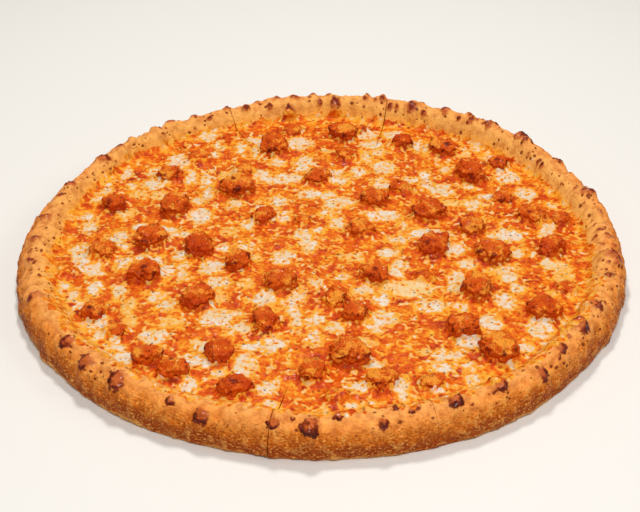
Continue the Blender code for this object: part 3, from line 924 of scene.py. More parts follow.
def sauce_sheets():
    """How wet and how red the sauce is everywhere."""
    broad = hills(13 * MM, 31) + 0.8 * hills(5 * MM, 32)
    fine = hills(2.4 * MM, 35)
    redder = (
        (0.34, broad), (0.20, fine), (0.16, np.exp(-np.maximum(chicken_away, 0) / FOOT_REACH)),
        (0.28, smooth(in_red, -3 * MM, 2 * MM) * (0.6 + fine)), (0.28, smooth(in_crisp, -1 * MM, 1 * MM)),
        (-0.12, smooth(in_patch, -4 * MM, 0.0)), (-0.10, 1 - smooth(lip_room, 2 * MM, 10 * MM)),
    )
    tone = USUAL_TONE + sum(amount * cause for amount, cause in redder)
    wet = smooth(broad + 0.5 * fine, -0.3, 0.7) * (1 - 0.8 * smooth(cheese, 0.35, 0.8))
    return wet, tone


wet, tone = sauce_sheets()
print("mean tone of the sauce:", round(float(tone[lip_room > 0].mean()), 2))

# %% [markdown]
# The bed's height adds the slow relief of the solid, the thickness of the cheese, a skin of sauce where
# it is wet, and the rise at each foot. Sauce runs down into the low places, so it gets redder there.

# %% The bed's height
RELIEF_HEIGHT = 1.3 * MM
RELIEF_SIZE = 17 * MM
RELIEF_FINER = 2.3
RELIEF_ROWS = (0.4, 6.2)
EDGE_CALM = 12 * MM
RELIEF_SKIP = 5
CHEESE_RISE = 0.75 * MM
SAUCE_SKIN = 0.30 * MM
FOOT_RISE = 4.0 * MM
FOOT_SLOPE = 2.1 * MM
LOW_PLACE = 0.22 * MM
LOW_REACH = 1.8 * MM
LOW_TONE = 0.16
BED_SINK = 0.35 * MM
BED_HILLS = ((0.22 * MM, 2.4 * MM, 41), (0.30 * MM, 5.0 * MM, 42))


def relief_sheet():
    """The relief of the solids, worked out on a coarser sheet and filled in between."""
    coarse = steps[::RELIEF_SKIP]
    finer = RELIEF_FINER / RELIEF_SIZE
    rows = [
        [noise.noise((x / RELIEF_SIZE, y / RELIEF_SIZE, RELIEF_ROWS[0]))
         + 0.5 * noise.noise((x * finer, y * finer, RELIEF_ROWS[1])) for x in coarse]
        for y in coarse
    ]
    across = np.array([np.interp(steps, coarse, row) for row in rows])
    both = np.array([np.interp(steps, coarse, column) for column in across.T]).T
    return RELIEF_HEIGHT * both * np.clip(lip_room / EDGE_CALM, 0.0, 1.0)


def bed_sheet():
    height = TOPPING_TOP - BED_SINK + relief_sheet()
    height += CHEESE_RISE * cheese
    height += SAUCE_SKIN * wet
    height += FOOT_RISE * np.exp(-np.maximum(chicken_away + 0.5 * MM, 0) / FOOT_SLOPE)
    return height + ripples(SHEET_X, SHEET_Y, BED_HILLS)


bed = bed_sheet()
tone = tone - LOW_TONE * np.clip((bed - soften(bed, LOW_REACH)) / LOW_PLACE, -1.5, 1.5)
print("bed height in mm:", np.round(np.percentile(bed[lip_room > 0] / MM, (1, 50, 99)), 2))

# %% [markdown]
# The finish of the topping reads the marks stored on its points: how thick the cheese is, how much
# sauce lies over it and how red that sauce is. Thin cheese is yellow with oil, thick cheese is cream.
# Fine noise breaks up every border, because a border drawn by the points alone would look soft.

# %% The topping's finish
SAUCE_STOPS = (
    (0.00, rgb(234, 168, 50)), (0.22, rgb(228, 134, 24)), (0.45, rgb(218, 97, 4)),
    (0.68, rgb(201, 68, 0)), (0.86, rgb(178, 52, 0)), (1.00, rgb(152, 42, 0)),
)
CHEESE_THIN = rgb(234, 168, 52)
CHEESE_THICK = rgb(217, 193, 155)
CHEESE_WHITE = rgb(221, 212, 202)
CHEESE_GOLD = rgb(234, 186, 74)
SPECK = rgb(96, 30, 0)
SAUCE_SPOT = rgb(220, 120, 20)
SOFT_FOOD = {"Specular_IOR_Level": 0.10, "Subsurface_Weight": 0.03, "Subsurface_Scale": 0.8 * MM}


def topping_colour(finish):
    """The colour of the bed, and how wet it is, from the marks on its points."""
    fine, middling = finish.grit(0.8 * MM), finish.grit(2.0 * MM)
    thickness = finish.stir(finish.mark("cheese"), (fine, 0.18), (middling, 0.22))
    tone = finish.stir(finish.mark("tone"), (fine, 0.22), (middling, 0.22))
    holes = finish.dots(6.0 * MM, 0.8 * MM, 1.9 * MM, 0.35, "2D")
    spots = finish.dots(5.0 * MM, 0.4 * MM, 1.1 * MM, 0.55, "2D")
    cream = finish.mix(finish.grit(5 * MM), CHEESE_THICK, CHEESE_WHITE)
    cream = finish.layers(
        cream,
        (1 - fine, 0.5, 1.0, 0.35, CHEESE_THIN),
        (1 - middling, 0.6, 1.0, 0.35, CHEESE_THIN),
    )
    cream = finish.mix(finish.mark("gold") * (0.2 + middling * 0.45), cream, CHEESE_GOLD)
    colour = finish.layers(
        finish.ramp(tone, SAUCE_STOPS),
        (thickness, 0.14, 0.46, 0.85, CHEESE_THIN),
        (thickness, 0.46, 0.82, 1.0, cream),
    )
    colour = finish.mix(holes * (fine * 0.4 + 0.3), colour, SAUCE_SPOT)
    colour = finish.mix(spots * (0.4 + middling * 0.45), colour, SPECK)
    return colour, finish.mark("wet"), fine, middling


def topping_finish():
    finish = Finish("melted_cheese_and_sauce")
    colour, cover, fine, middling = topping_colour(finish)
    finish.set(Base_Color=colour, Roughness=0.46 - cover * 0.12, Coat_Weight=cover * 0.09,
               Coat_Roughness=0.12, Subsurface_Radius=(1.0, 0.55, 0.3), **SOFT_FOOD,
               Normal=finish.bump(fine + middling, 0.28 * MM, 0.9))
    return finish


TOPPING = topping_finish()
print("nodes in the topping's finish:", len(TOPPING.tree.nodes))

# %% [markdown]
# Each bed is a wedge whose outline climbs a little up the rim's inner slope, by a ragged amount, and
# whose sides come almost together at the cuts: melted cheese closed most of them again. The top is
# filled with an even net of points by a constrained triangulation, which follows the ragged outline.

# %% Plan of a bed
NET_STEP = 0.82 * MM
OUTLINE_STEP = 0.9 * MM
CLIMB = (0.3 * MM, 2.2 * MM)
CUT_OPEN = (0.9, 1.0, 0.0, 0.0, 0.5, 1.0, 0.0, 0.0, 0.9)
CUT_CLOSED_BY = 0.995
CUT_WAVE = 9 * MM
CUT_SHUTS = (0.04, 0.22)


def climb(bearings):
    wave = around(bearings, (16.0, 3.3)) + 0.4 * around(bearings, (44.0, 5.1))
    return between(CLIMB, np.clip(0.5 + wave, 0.0, 1.0))


def at_rim(bearings, inset):
    """Places in from the edge towards the hub, one for each bearing or a row of them."""
    edge = heading(bearings) * edge_radius(bearings)[:, None]
    inward = HUB - edge
    inward /= np.hypot(*inward.T)[:, None]
    if inset.ndim == 2:
        edge, inward = edge[:, None], inward[:, None]
    return edge + inward * inset[..., None]


def cut_side(corner, cut, outward):
    """Points along one cut from the lip to the hub, pushed towards the neighbour where it closed."""
    run = HUB - corner
    length = np.hypot(*run)
    count = int(length / OUTLINE_STEP)
    share = np.arange(1, count) / count
    line = corner + run * share[:, None]
    aside = np.array((-run[1], run[0])) / length * outward
    wave = np.array([noise.noise((x, y, 2.7 + cut)) for x, y in line / CUT_WAVE])
    gap = CUT_OPEN[cut] * (1 - smooth(share + 0.15 * wave, *CUT_SHUTS))
    closed = CUT_CLOSED_BY * (1 - np.clip(gap, 0, 1))
    return line + aside * (closed * KERF / 2)[:, None]


def bed_outline(number):
    """The plan of a bed's top and foot, clockwise from its first cut, and which points are at the lip."""
    start, end = SLICES[number - 1]
    bearings = np.linspace(start, end, int(math.radians(end - start) * PIZZA_RADIUS / OUTLINE_STEP))
    width = rim_width(bearings)
    top = at_rim(bearings, width - climb(bearings))
    middle = at_rim(bearings, width + GAP)
    low = at_rim(bearings, width + LIP_SLOPE + GAP)
    first = cut_side(low[0], number - 1, -1.0)
    last = cut_side(low[-1], number, 1.0)
    back = np.concatenate((last, HUB[None], first[::-1]))
    return top, middle, low, back


print("outline points of bed 1:", sum(len(part) for part in bed_outline(1)))

# %% [markdown]
# Near the lip the bed climbs on to the dough, so its height there is that of the rim's inner slope and
# a thin film more. A soft maximum of the two joins them without a crease. The very edge dips just under
# the dough, so that no gap shows.

# %% Height of a bed anywhere
FILM = 0.35 * MM
FILM_EDGE = 1.1 * MM
EDGE_DIP = 1.0 * MM
FILM_CHEESE = 0.4 * MM
JOIN = 0.6 * MM
JOIN_SINK = 0.15 * MM
LIP_BELT = 4 * MM
DROP_INSIDE = 1.3
CREST_ROW = int(np.argmax(UP))


def inner_slope(x, y, number):
    """Height of a slice's inner slope, run on downwards inside the lip."""
    bearings = bearing_of(x, y)
    inset = ring_read(RING_EDGE, bearings) - np.hypot(x, y)
    share = inset / ring_read(RING_WIDTH, bearings)
    height = np.interp(share, SHARE[CREST_ROW:], UP[CREST_ROW:]) * RIM_HEIGHT
    swell = RIM_HEIGHT * RIM_SWELL * ring_read(around(RING, SWELL_NOISE, SLICE_STEP * number), bearings)
    height += np.interp(share, SHARE[CREST_ROW:], LIFTED[CREST_ROW:]) * (PUFF_RISE * puff(bearings) + swell)
    return height - DROP_INSIDE * np.maximum(share - 1, 0.0) * RIM_WIDTH


def bed_height(x, y, number):
    """Height of a bed's top; the slope below it is read where it lay before its slice was drawn out."""
    shift = slice_shift(*SLICES[number - 1])
    own = x - shift[0], y - shift[1]
    room = inside_lip(*own)
    film = inner_slope(*own, number) + FILM + FILM_CHEESE * read(cheese, x, y)
    level = read(bed, x, y)
    height = 0.5 * (level + film + np.sqrt((level - film) ** 2 + JOIN**2)) - JOIN_SINK
    past = room + climb(bearing_of(*own))
    dip = np.where(room < LIP_BELT, 1 - smooth(past, 0.0, FILM_EDGE), 0.0)
    return height - EDGE_DIP * dip


# %% [markdown]
# The triangulation takes the outline as one loop and the net as loose points, and keeps the inside
# only. The sides then drop to the foot, and one face closes the underside.

# %% Make the beds
NET_WANDER = 0.16
NET_SEED = 51
CUT_CLEAR = 0.55 * MM
CDT_EPSILON = 1e-6


def net_points(number, outline):
    """Even points inside a bed's outline, a little away from it."""
    rng = np.random.default_rng(NET_SEED + number)
    low, high = outline.min(0), outline.max(0)
    columns = np.arange(low[0], high[0], NET_STEP)
    rows = np.arange(low[1], high[1], NET_STEP * math.sqrt(0.75))
    x, y = np.meshgrid(columns, rows)
    x[1::2] += NET_STEP / 2
    x, y = (axis.ravel() + rng.uniform(-NET_WANDER, NET_WANDER, x.size) * NET_STEP for axis in (x, y))
    keep = inside_lip(x, y) + climb_read(bearing_of(x, y)) > CUT_CLEAR
    for corner, side in ((SLICES[number - 1][0], 1.0), (SLICES[number - 1][1], -1.0)):
        run = heading(np.array([corner]))[0] * PIZZA_RADIUS - HUB
        run /= np.hypot(*run)
        clear = ((x - HUB[0]) * run[1] - (y - HUB[1]) * run[0]) * side
        keep &= clear > CUT_CLEAR
    return np.stack((x[keep], y[keep]), -1)


def surface_marks(x, y):
    """What the topping's colour reads at some places of the sheets."""
    sheets = {"cheese": cheese, "tone": tone, "wet": wet, "gold": golden}
    return {label: read(sheet, x, y) for label, sheet in sheets.items()}


RING_CLIMB = climb(RING)


def climb_read(bearings):
    return ring_read(RING_CLIMB, bearings)


def make_bed(number):
    shift = slice_shift(*SLICES[number - 1])
    top, middle, low, back = bed_outline(number)
    outline = np.concatenate((top, back))
    net = net_points(number, outline)
    flat = np.concatenate((outline, net))
    loop = list(reversed(range(len(outline))))
    found = delaunay_2d_cdt([Vector(p) for p in flat / MM], [], [loop], 1, CDT_EPSILON)
    plan = np.array([tuple(p) for p in found[0]]) * MM + shift
    place = {old: new for new, olds in enumerate(found[3]) for old in olds}
    ring = [place[i] for i in range(len(outline))]
    points = np.column_stack((plan, bed_height(*plan.T, number)))
    faces = [tuple(face) for face in found[2]]
    count = len(outline)
    levels = []
    for line, height in ((middle, TOPPING_TOP - MM), (low, FLOOR_HEIGHT + GAP)):
        foot = np.concatenate((line, back)) + shift
        levels.append(range(len(points), len(points) + count))
        points = np.concatenate((points, np.column_stack((foot, np.full(count, height)))))
    for upper, lower in ((ring, levels[0]), (levels[0], levels[1])):
        faces += [(upper[i], upper[(i + 1) % count], lower[(i + 1) % count], lower[i]) for i in range(count)]
    faces.append(tuple(levels[1]))
    marks = surface_marks(points[:, 0], points[:, 1])
    make_piece(f"bed_{number}", points, faces, marks, TOPPING, [f"topping_slice_{number}"])


for number in range(1, len(SLICES) + 1):
    make_bed(number)
print("bed triangles:", sum(piece_faces.values()))

# %% [markdown]
# A blister is a bubble under the skin of the dough. The solids have its bump; here it also wrinkles,
# and the oven darkens a ring round its shoulder, most on the side that faced the heat. On the near
# side of the pizza the ring is wider, because those blisters hang over the outer side. Marks for that
# are worked out with the bump. Many smaller bubbles, too fine for the solids, are drawn by a loop.

# %% Blisters
OUTERMOST = int(np.argmin(SHARE))
BUBBLES = 170
BUBBLE_SEED = 67
BUBBLE_DEPTH = (7.0, 22.0)
BUBBLE_WIDTH = (3.5, 9.0)
BUBBLE_DARK = (0.15, 0.75)
HOT_BEARING = 40
RAGGED = ((0.22, 4.2 * MM, 61), (0.16, 1.9 * MM, 62))
SHOULDER_AT = (0.24, 0.62)
SHOULDER_WIDTH = (0.32, 0.24)


def small_bubbles():
    """More and smaller blisters, crowded where the rim faced the back of the oven."""
    rng = np.random.default_rng(BUBBLE_SEED)
    found = []
    for bearing in rng.uniform(CUT_BEARINGS[0], CUT_BEARINGS[-1], BUBBLES):
        depth, width = rng.uniform(*BUBBLE_DEPTH), rng.uniform(*BUBBLE_WIDTH)
        dark, chance = rng.uniform(*BUBBLE_DARK), rng.random()
        if chance < 0.55 + 0.45 * math.cos(math.radians(bearing - HOT_BEARING)):
            found.append((bearing, depth, width, dark))
    return found


ALL_BLISTERS = (*BLISTERS, *small_bubbles())
print("blisters:", len(ALL_BLISTERS))


def unrolled(bearings):
    """The dough's skin laid flat: the run round the pizza and the run along the section."""
    arc = np.radians(bearings)[:, None] * PIZZA_RADIUS + np.zeros(SECTION_ROWS)
    return arc, SECTION_RUN + np.zeros(arc.shape)


def blister_sheets(bearings, inset):
    """Lift, browning and scorching by the blisters over a grid of bearings and insets."""
    radius = edge_radius(bearings)[:, None] - inset
    lift, body, scorch = (np.zeros(inset.shape) for _ in range(3))
    arc, spot = unrolled(bearings)
    ragged = ripples(arc, spot, RAGGED)
    for centre, depth, width, dark in ALL_BLISTERS:
        along = np.radians(turn_from(bearings, centre))[:, None] * radius
        across = inset - depth * MM
        away = np.hypot(along, BLISTER_STRETCH * across) / (BLISTER_REACH * width * MM)
        lift += BLISTER_RISE * width * MM * np.where(away < 1, (1 - away**2) ** 2, 0.0)
        run_at = np.interp(depth * MM / RIM_WIDTH, SHARE[OUTERMOST:], SECTION_RUN[OUTERMOST:])
        across, along = (run / (0.5 * width * MM) for run in (spot - run_at, along))
        rough = np.hypot(along, across) + ragged
        facing = smooth(-0.55 * across - 0.85 * along * math.sin(math.radians(centre)), -0.5, 0.4)
        near_side = smooth(-math.cos(math.radians(centre)), 0.1, 0.8)
        past = (rough - between(SHOULDER_AT, near_side)) / between(SHOULDER_WIDTH, near_side)
        ring = np.exp(-(past**2)) * (0.08 + 0.92 * facing)
        inner = 1 - smooth(rough, 0.35, 0.9)
        body = np.maximum(body, inner * (dark + 0.3 * facing) + 0.4 * dark * ring)
        scorch = np.maximum(scorch, (0.7 + 0.3 * dark) * ring + 0.2 * dark**2 * (1 - smooth(rough, 0.2, 0.8)))
    return lift, body, scorch


# %% [markdown]
# Dough baked on cornmeal is pebbled on its outer side and smooth on the crest, where only steam shaped it.
# Small pits are bubbles that broke. All of it is relief of about a millimetre or less, pushed out
# across the section. It fades at the foot, which stays flat on the floor, and at the lip, where the
# film of cheese has to lie close on it.

# %% The dough's small relief
SKIN_HILLS = ((1.2 * MM, 13 * MM, 75), (1.0 * MM, 27 * MM, 78))
DIMPLE_RISE = 0.8 * MM
PEBBLE_RISE = 0.34 * MM
WRINKLE_RISE = 0.8 * MM
WRINKLE_SIZE = 2.6 * MM
PITS = 800
PIT_SEED = 71
PIT_SIZE = (0.7 * MM, 1.8 * MM)
PIT_PLACE = (0.36, 0.93)
PIT_DEPTH = 0.5 * MM
OUTER_END = (16 * MM, 26 * MM)


def pit_sheet(bearings, along_section):
    """Small round pits on the crest and the inner slope, deeper where they are wider."""
    rng = np.random.default_rng(PIT_SEED)
    sheet = np.zeros((len(bearings), len(along_section)))
    step = bearings[1] - bearings[0]
    for _ in range(PITS):
        bearing = rng.uniform(CUT_BEARINGS[0], CUT_BEARINGS[-1])
        spot = rng.uniform(*PIT_PLACE) * SECTION_RUN[-1]
        size, chance = rng.uniform(*PIT_SIZE) * rng.uniform(0.6, 1.0), rng.random()
        crowd = noise.noise((*(heading(np.array([bearing]))[0] * 6), 4.4))
        if chance > 0.55 + 0.6 * crowd or not bearings[0] <= bearing <= bearings[-1]:
            continue
        near = int(round((bearing - bearings[0]) / step))
        part = slice(max(near - 4, 0), near + 5)
        along = np.radians(bearings[part] - bearing)[:, None] * PIZZA_RADIUS * 0.75
        away = np.hypot(along, along_section - spot) / size
        sheet[part] = np.maximum(sheet[part], 1 - smooth(away, 0.4, 1.2))
    return sheet


def dough_relief(bearings, body):
    """Height of the skin's relief, how far a place is on the outer side, and how hollow it is, which the
    finish uses for painted shade in the dips and painted light on the bumps.
    """
    arc, spot = unrolled(bearings)
    outer = np.broadcast_to(1 - smooth(SECTION_RUN, *OUTER_END), arc.shape)
    pebbles = ripple(arc, spot * 1.5, 2.6 * MM, 73) + 0.6 * ripple(arc, spot * 1.3, 1.8 * MM, 74)
    dimples = ripple(arc, spot, 6 * MM, 76)
    height = ripples(arc, spot, SKIN_HILLS) + DIMPLE_RISE * dimples
    height += PEBBLE_RISE * pebbles * (0.4 + 0.8 * outer)
    folds = 0.6 - 2 * np.abs(ripple(arc * 0.7, spot, WRINKLE_SIZE, 77))
    height += WRINKLE_RISE * folds * np.clip(body * 1.5, 0, 1)
    # How hollow: high in the dips of the relief; the finish paints shade there and light on the bumps.
    hollow = np.clip(0.5 - 0.6 * dimples - 0.35 * pebbles, 0, 1)
    return height, outer, hollow


# %% [markdown]
# The crust's colour runs from a pale band at the foot, over a toasted and pebbled outer side, to a
# golden crest and a paler inner slope stained by sauce. The run along the section picks the place on
# that ramp, and slow noise shifts it, so no band is even. Painted light and shade lie over it: the
# hollows of the relief are painted darker as shade and its bumps paler as light, and pale crumbs on
# the raised grain of the outer side are partly painted highlights.

# %% The crust's finish
CRUST_STOPS = (
    (0.00, rgb(236, 178, 106)), (0.04, rgb(226, 156, 80)), (0.07, rgb(166, 70, 0)),
    (0.18, rgb(154, 56, 0)), (0.28, rgb(214, 105, 10)), (0.38, rgb(236, 134, 42)),
    (0.50, rgb(242, 150, 68)), (0.64, rgb(238, 160, 84)), (0.84, rgb(236, 170, 86)),
    (1.00, rgb(240, 164, 64)),
)
PALE_CRUMB_AND_HIGHLIGHT = rgb(254, 180, 88)
CRUMB_DARK = rgb(132, 54, 4)
TOAST_AND_HOLLOW_SHADE = rgb(184, 94, 28)
BLISTER_RED = rgb(184, 76, 26)
SCORCH = rgb(130, 42, 12)
BLACKENED = rgb(76, 24, 8)
PIT_BROWN = rgb(122, 46, 8)


def crust_finish():
    finish = Finish("baked_dough")
    slow, middling = finish.grit(20 * MM), finish.grit(4.5 * MM)
    skin = {0: finish.mark("arc") * 0.7, 1: finish.mark("run"), 2: 0.0}
    along = finish.add("ShaderNodeCombineXYZ", inputs=skin)
    fine, folds = (finish.grit(size * MM, where=along) for size in (0.7, 1.6))
    outer = finish.mark("outer")
    section = finish.stir(finish.mark("section"), (slow, 0.12), (middling, 0.07))
    hollow = finish.stir(finish.mark("hollow"), (fine, 0.3))
    body = finish.stir(finish.mark("body"), (middling, 0.3), (fine, 0.15))
    scorch = finish.stir(finish.mark("scorch"), (folds, 0.5), (middling, 0.2))
    pit = finish.stir(finish.mark("pit"), (fine, 0.3))
    freckles = finish.dots(7 * MM, 0.5 * MM, 1.3 * MM, 0.5) * (0.85 - outer * 0.5)
    stain = finish.stir(finish.mark("stain"), (middling, 0.4), (fine, 0.2))
    colour = finish.layers(
        finish.ramp(section, CRUST_STOPS),
        # Pale crumbs where the fine grain stands high, at the bump's high points: partly painted highlights.
        (fine, 0.6, 1.0, outer * 0.55 + 0.2, PALE_CRUMB_AND_HIGHLIGHT),
        (1 - fine, 0.55, 1.0, outer * 0.5 + 0.25, CRUMB_DARK),
        (1 - middling, 0.5, 1.0, 0.3, TOAST_AND_HOLLOW_SHADE),
        # Painted shade in the hollows of the relief, and painted light on its bumps.
        (hollow, 0.45, 0.95, 0.5, TOAST_AND_HOLLOW_SHADE),
        (1 - hollow, 0.55, 1.0, 0.4, PALE_CRUMB_AND_HIGHLIGHT),
        (body, 0.05, 0.75, 0.8, BLISTER_RED),
        (scorch, 0.22, 0.62, 1.0, SCORCH),
        (scorch, 0.62, 1.00, 1.0, BLACKENED),
        (pit, 0.3, 0.65, 0.9, PIT_BROWN),
        (slow, 0.35, 0.75, freckles, PIT_BROWN),
        (stain, 0.45, 0.62, 1.0, topping_colour(finish)[0]),
    )
    shine = finish.step(body, 0.15, 0.6)
    relief = fine * (outer * 0.9 + 0.25) + middling * 0.35 + folds * finish.step(body, 0.1, 0.6) * 0.8
    finish.set(Base_Color=colour, Roughness=0.56 - shine * 0.15,
               Coat_Weight=shine * 0.2 + outer * fine * 0.08, Coat_Roughness=0.12,
               Subsurface_Radius=(1.0, 0.5, 0.25), **SOFT_FOOD, Normal=finish.bump(relief, 0.8 * MM))
    return finish


CRUST = crust_finish()
print("nodes in the crust's finish:", len(CRUST.tree.nodes))

# %% [markdown]
# A wedge of dough is a grid of its rim, a drop to the level floor under the topping, the floor itself,
# a flat underside and two cut sides. Where a cut was pressed open the crest sinks beside it. Where it
# closed again the wedge is let out until it almost meets its neighbour. Sauce stains the inner slope:
# far up it at the near side, and only a little at the far side.

# %% Make the dough
COLUMN_STEP = 0.88 * MM
CUT_SINK = 0.9 * MM
CUT_SINK_REACH = 1.4 * MM
LET_OUT = 0.85
FOOT_FADE = 0.12
LIP_FADE = (0.70, 0.90)
BLISTERS_ABOVE = (0.42, 0.60)
BLISTERS_BEFORE = (0.93, 1.00)
STAIN_FULL = 0.88
STAIN_FROM = (0.34, 0.56)
STAIN_REACH = (3.5 * MM, 38 * MM)
STAIN_HILLS = ((0.5, 9 * MM, 81), (0.35, 3.6 * MM, 82))


def rim_grid(number):
    """Plan, heights and marks of a wedge's rim over a grid of bearings and section points."""
    start, end = SLICES[number - 1]
    opens = CUT_OPEN[number - 1], CUT_OPEN[number]
    ease = [math.degrees(LET_OUT * (1 - wide) * KERF / 2 / PIZZA_RADIUS) for wide in opens]
    count = int(math.radians(end - start) * PIZZA_RADIUS / COLUMN_STEP) + 1
    bearings = np.linspace(start - ease[0], end + ease[1], count)
    width = rim_width(bearings)[:, None]
    swell = RIM_SWELL * around(bearings, SWELL_NOISE, SLICE_STEP * number)[:, None]
    inset = SHARE * width
    height = UP * RIM_HEIGHT + LIFTED * (PUFF_RISE * puff(bearings)[:, None] + RIM_HEIGHT * swell)
    lift, body, scorch = blister_sheets(bearings, inset)
    at_blisters = smooth(UP, *BLISTERS_ABOVE) * (1 - smooth(SHARE, *BLISTERS_BEFORE))
    relief, outer, hollow = dough_relief(bearings, body)
    relief = relief * (1 - smooth(SHARE, *LIP_FADE))
    pits = pit_sheet(bearings, SECTION_RUN)
    push = lift * at_blisters + (relief - PIT_DEPTH * pits) * smooth(UP, 0.0, FOOT_FADE)
    inset = inset - PUSH_OUT * push
    height = np.maximum(height + PUSH_UP * push, 0.0)
    for place, wide in ((bearings[0], opens[0]), (bearings[-1], opens[1])):
        beside = np.exp(-np.radians(np.abs(bearings - place)) * PIZZA_RADIUS / CUT_SINK_REACH)[:, None]
        height = height - CUT_SINK * wide * beside * smooth(UP, 0.3, 0.9)
    arc, spot = unrolled(bearings)
    reach = between(STAIN_REACH, smooth(-heading(bearings)[:, 1:], -0.3, 0.9))
    stain = STAIN_FULL - np.clip((width - inset) / reach, 0, 1)
    stain += ripples(arc, spot, STAIN_HILLS)
    past_lip = edge_radius(bearings)[:, None] - width + SECTION_RUN[-1] - SECTION_RUN
    marks = surface_marks(*(past_lip * way[:, None] for way in heading(bearings).T))
    marks |= {"section": spot / SECTION_RUN[-1], "outer": outer, "body": body * at_blisters,
              "scorch": scorch * at_blisters, "pit": pits, "hollow": hollow, "arc": arc, "run": spot,
              "stain": stain * smooth(SHARE, *STAIN_FROM)}
    return at_rim(bearings, inset), height, marks


def make_dough(number):
    plan, height, marks = rim_grid(number)
    plan = plan + slice_shift(*SLICES[number - 1])
    columns, rows = height.shape
    points = np.concatenate((plan.reshape(-1, 2), np.zeros((columns * rows, 1))), 1)
    points[:, 2] = height.ravel()
    hub = HUB + slice_shift(*SLICES[number - 1])
    inward = hub - plan[:, -1]
    inward /= np.hypot(*inward.T)[:, None]
    drop = np.column_stack((plan[:, -1] + inward * LIP_SLOPE, np.full(columns, FLOOR_HEIGHT)))
    points = np.concatenate((points, drop, [(*hub, FLOOR_HEIGHT), (*hub, 0.0)]))
    grid = np.arange(columns * rows).reshape(columns, rows)
    below = columns * rows + np.arange(columns)
    hub_top, hub_base = columns * rows + columns, columns * rows + columns + 1
    full = np.column_stack((grid, below))
    quads = np.stack((full[:-1, :-1], full[:-1, 1:], full[1:, 1:], full[1:, :-1]), -1).reshape(-1, 4)
    faces = [tuple(face) for face in quads.tolist()]
    faces += [(below[i], hub_top, below[i + 1]) for i in range(columns - 1)]
    faces += [(grid[i, 0], grid[i + 1, 0], hub_base) for i in range(columns - 1)]
    faces += [(*full[i].tolist(), hub_top, hub_base) for i in (0, -1)]
    extra = np.zeros(columns + 2)
    values = {label: np.concatenate((mark.ravel(), extra)) for label, mark in marks.items()}
    make_piece(f"dough_{number}", points, faces, values, CRUST, [f"crust_slice_{number}"])


for number in range(1, len(SLICES) + 1):
    make_dough(number)
print("triangles so far:", sum(piece_faces.values()))

# %% [markdown]
# Diced chicken that has been grilled and tossed in sauce is orange and red, golden on its top, partly
# where the grill caught it and partly as painted light, browner on its sides, partly browning and partly
# painted shade, and nearly black at a few corners; the foot of each piece is also darker, partly as
# painted shade. Each of these colours is a layer, shown by noise, by the marks for sides and scorching,
# or by the tint of the whole piece.

# %% The chicken's finish
MEAT_TOP = rgb(226, 100, 10)
MEAT_SAUCE = rgb(214, 82, 6)
MEAT_SIDE_AND_SHADE = rgb(184, 60, 2)
MEAT_GOLD = rgb(246, 158, 50)
MEAT_DARK = rgb(188, 50, 0)
MEAT_BROWN = rgb(134, 34, 0)
MEAT_CHAR = rgb(88, 22, 4)


def chicken_finish():
    finish = Finish("sauced_chicken")
    fine, middling, broad = (finish.grit(size * MM) for size in (0.8, 2.6, 6.0))
    side, tint = finish.mark("side"), finish.mark("tint")
    specks = finish.dots(2.6 * MM, 0.4 * MM, 1.0 * MM, 0.3)
    # Golden tops, fading on the sides: partly painted light.
    gold = finish.stir(0.75 - broad * 0.7 + tint * 0.4 - side * 0.25, (fine, 0.35))
    red = finish.stir(0.25 - tint, (broad, 0.8), (middling, 0.5), (fine, 0.4))
    scorch = finish.stir(finish.mark("scorch"), (fine, 0.5), (middling, 0.2))
    colour = finish.layers(
        MEAT_SAUCE,
        (middling * 0.6 + fine * 0.4, 0.25, 0.75, 1.0, MEAT_TOP),
        (gold, 0.38, 0.70, 0.85, MEAT_GOLD),
        # Browner sides, from the slope of the surface: partly browning, partly painted shade.
        (finish.stir(side, (middling, 0.3), (fine, 0.2)), 0.35, 0.95, 0.7, MEAT_SIDE_AND_SHADE),
        (red, 0.2, 0.85, 0.8, MEAT_DARK),
        # The scorch mark also holds a painted shade at the foot of each piece.
        (scorch, 0.25, 0.75, 0.9, MEAT_BROWN),
        (scorch, 0.90, 1.25, 0.9, MEAT_CHAR),
        (broad, 0.35, 0.75, specks * 0.85, MEAT_CHAR),
    )
    finish.set(Base_Color=colour, Roughness=0.5, Coat_Weight=middling * 0.15, Coat_Roughness=0.08,
               Subsurface_Radius=(1.0, 0.4, 0.2), **SOFT_FOOD,
               Normal=finish.bump(fine * 0.6 + finish.grit(1.5 * MM, 3.0), 0.9 * MM))
    return finish


CHICKEN_FINISH = chicken_finish()
print("nodes in the chicken's finish:", len(CHICKEN_FINISH.tree.nodes))

# %% [markdown]
# The rings of the solid are read as a smooth surface round and over each piece: a closed grid of turns
# round it, and of steps from the seat up the side and over the crown to one last point. A subdivision
# modifier could round it off too, but a grid tells every point how far up the piece it is.

# %% The surface of a piece
def round_and_over(rings, turns, levels):
    """A smooth grid of points through a piece's rings, closed round it."""
    spots = np.arange(turns) / turns * DICE_SIDES
    fine = []
    for ring in rings:
        padded = np.concatenate((ring[-2:], ring, ring[:3]))
        fine.append(curve_through(padded, spots + 2))
    fine.append(np.broadcast_to(fine[-1].mean(0), fine[-1].shape))
    stack = np.array(fine)
    rises = np.diff(stack[:, :, [0, 2]].mean(1), axis=0)
    reach = np.concatenate(([0.0], np.cumsum(np.hypot(*rises.T) + MM)))
    spots = np.interp(np.linspace(0, reach[-1], levels), reach, np.arange(len(stack)))
    return np.stack([curve_through(stack[:, k], spots) for k in range(turns)], 1)


def grid_normals(grid):
    round_it = np.roll(grid, -1, 1) - np.roll(grid, 1, 1)
    over_it = np.gradient(grid, axis=0)
    normals = np.cross(round_it, over_it)
    return normals / np.maximum(np.linalg.norm(normals, axis=-1, keepdims=True), 1e-12)


print("corners round a piece:", DICE_SIDES, "rings over it:", len(DICE_LEVELS) + 1)

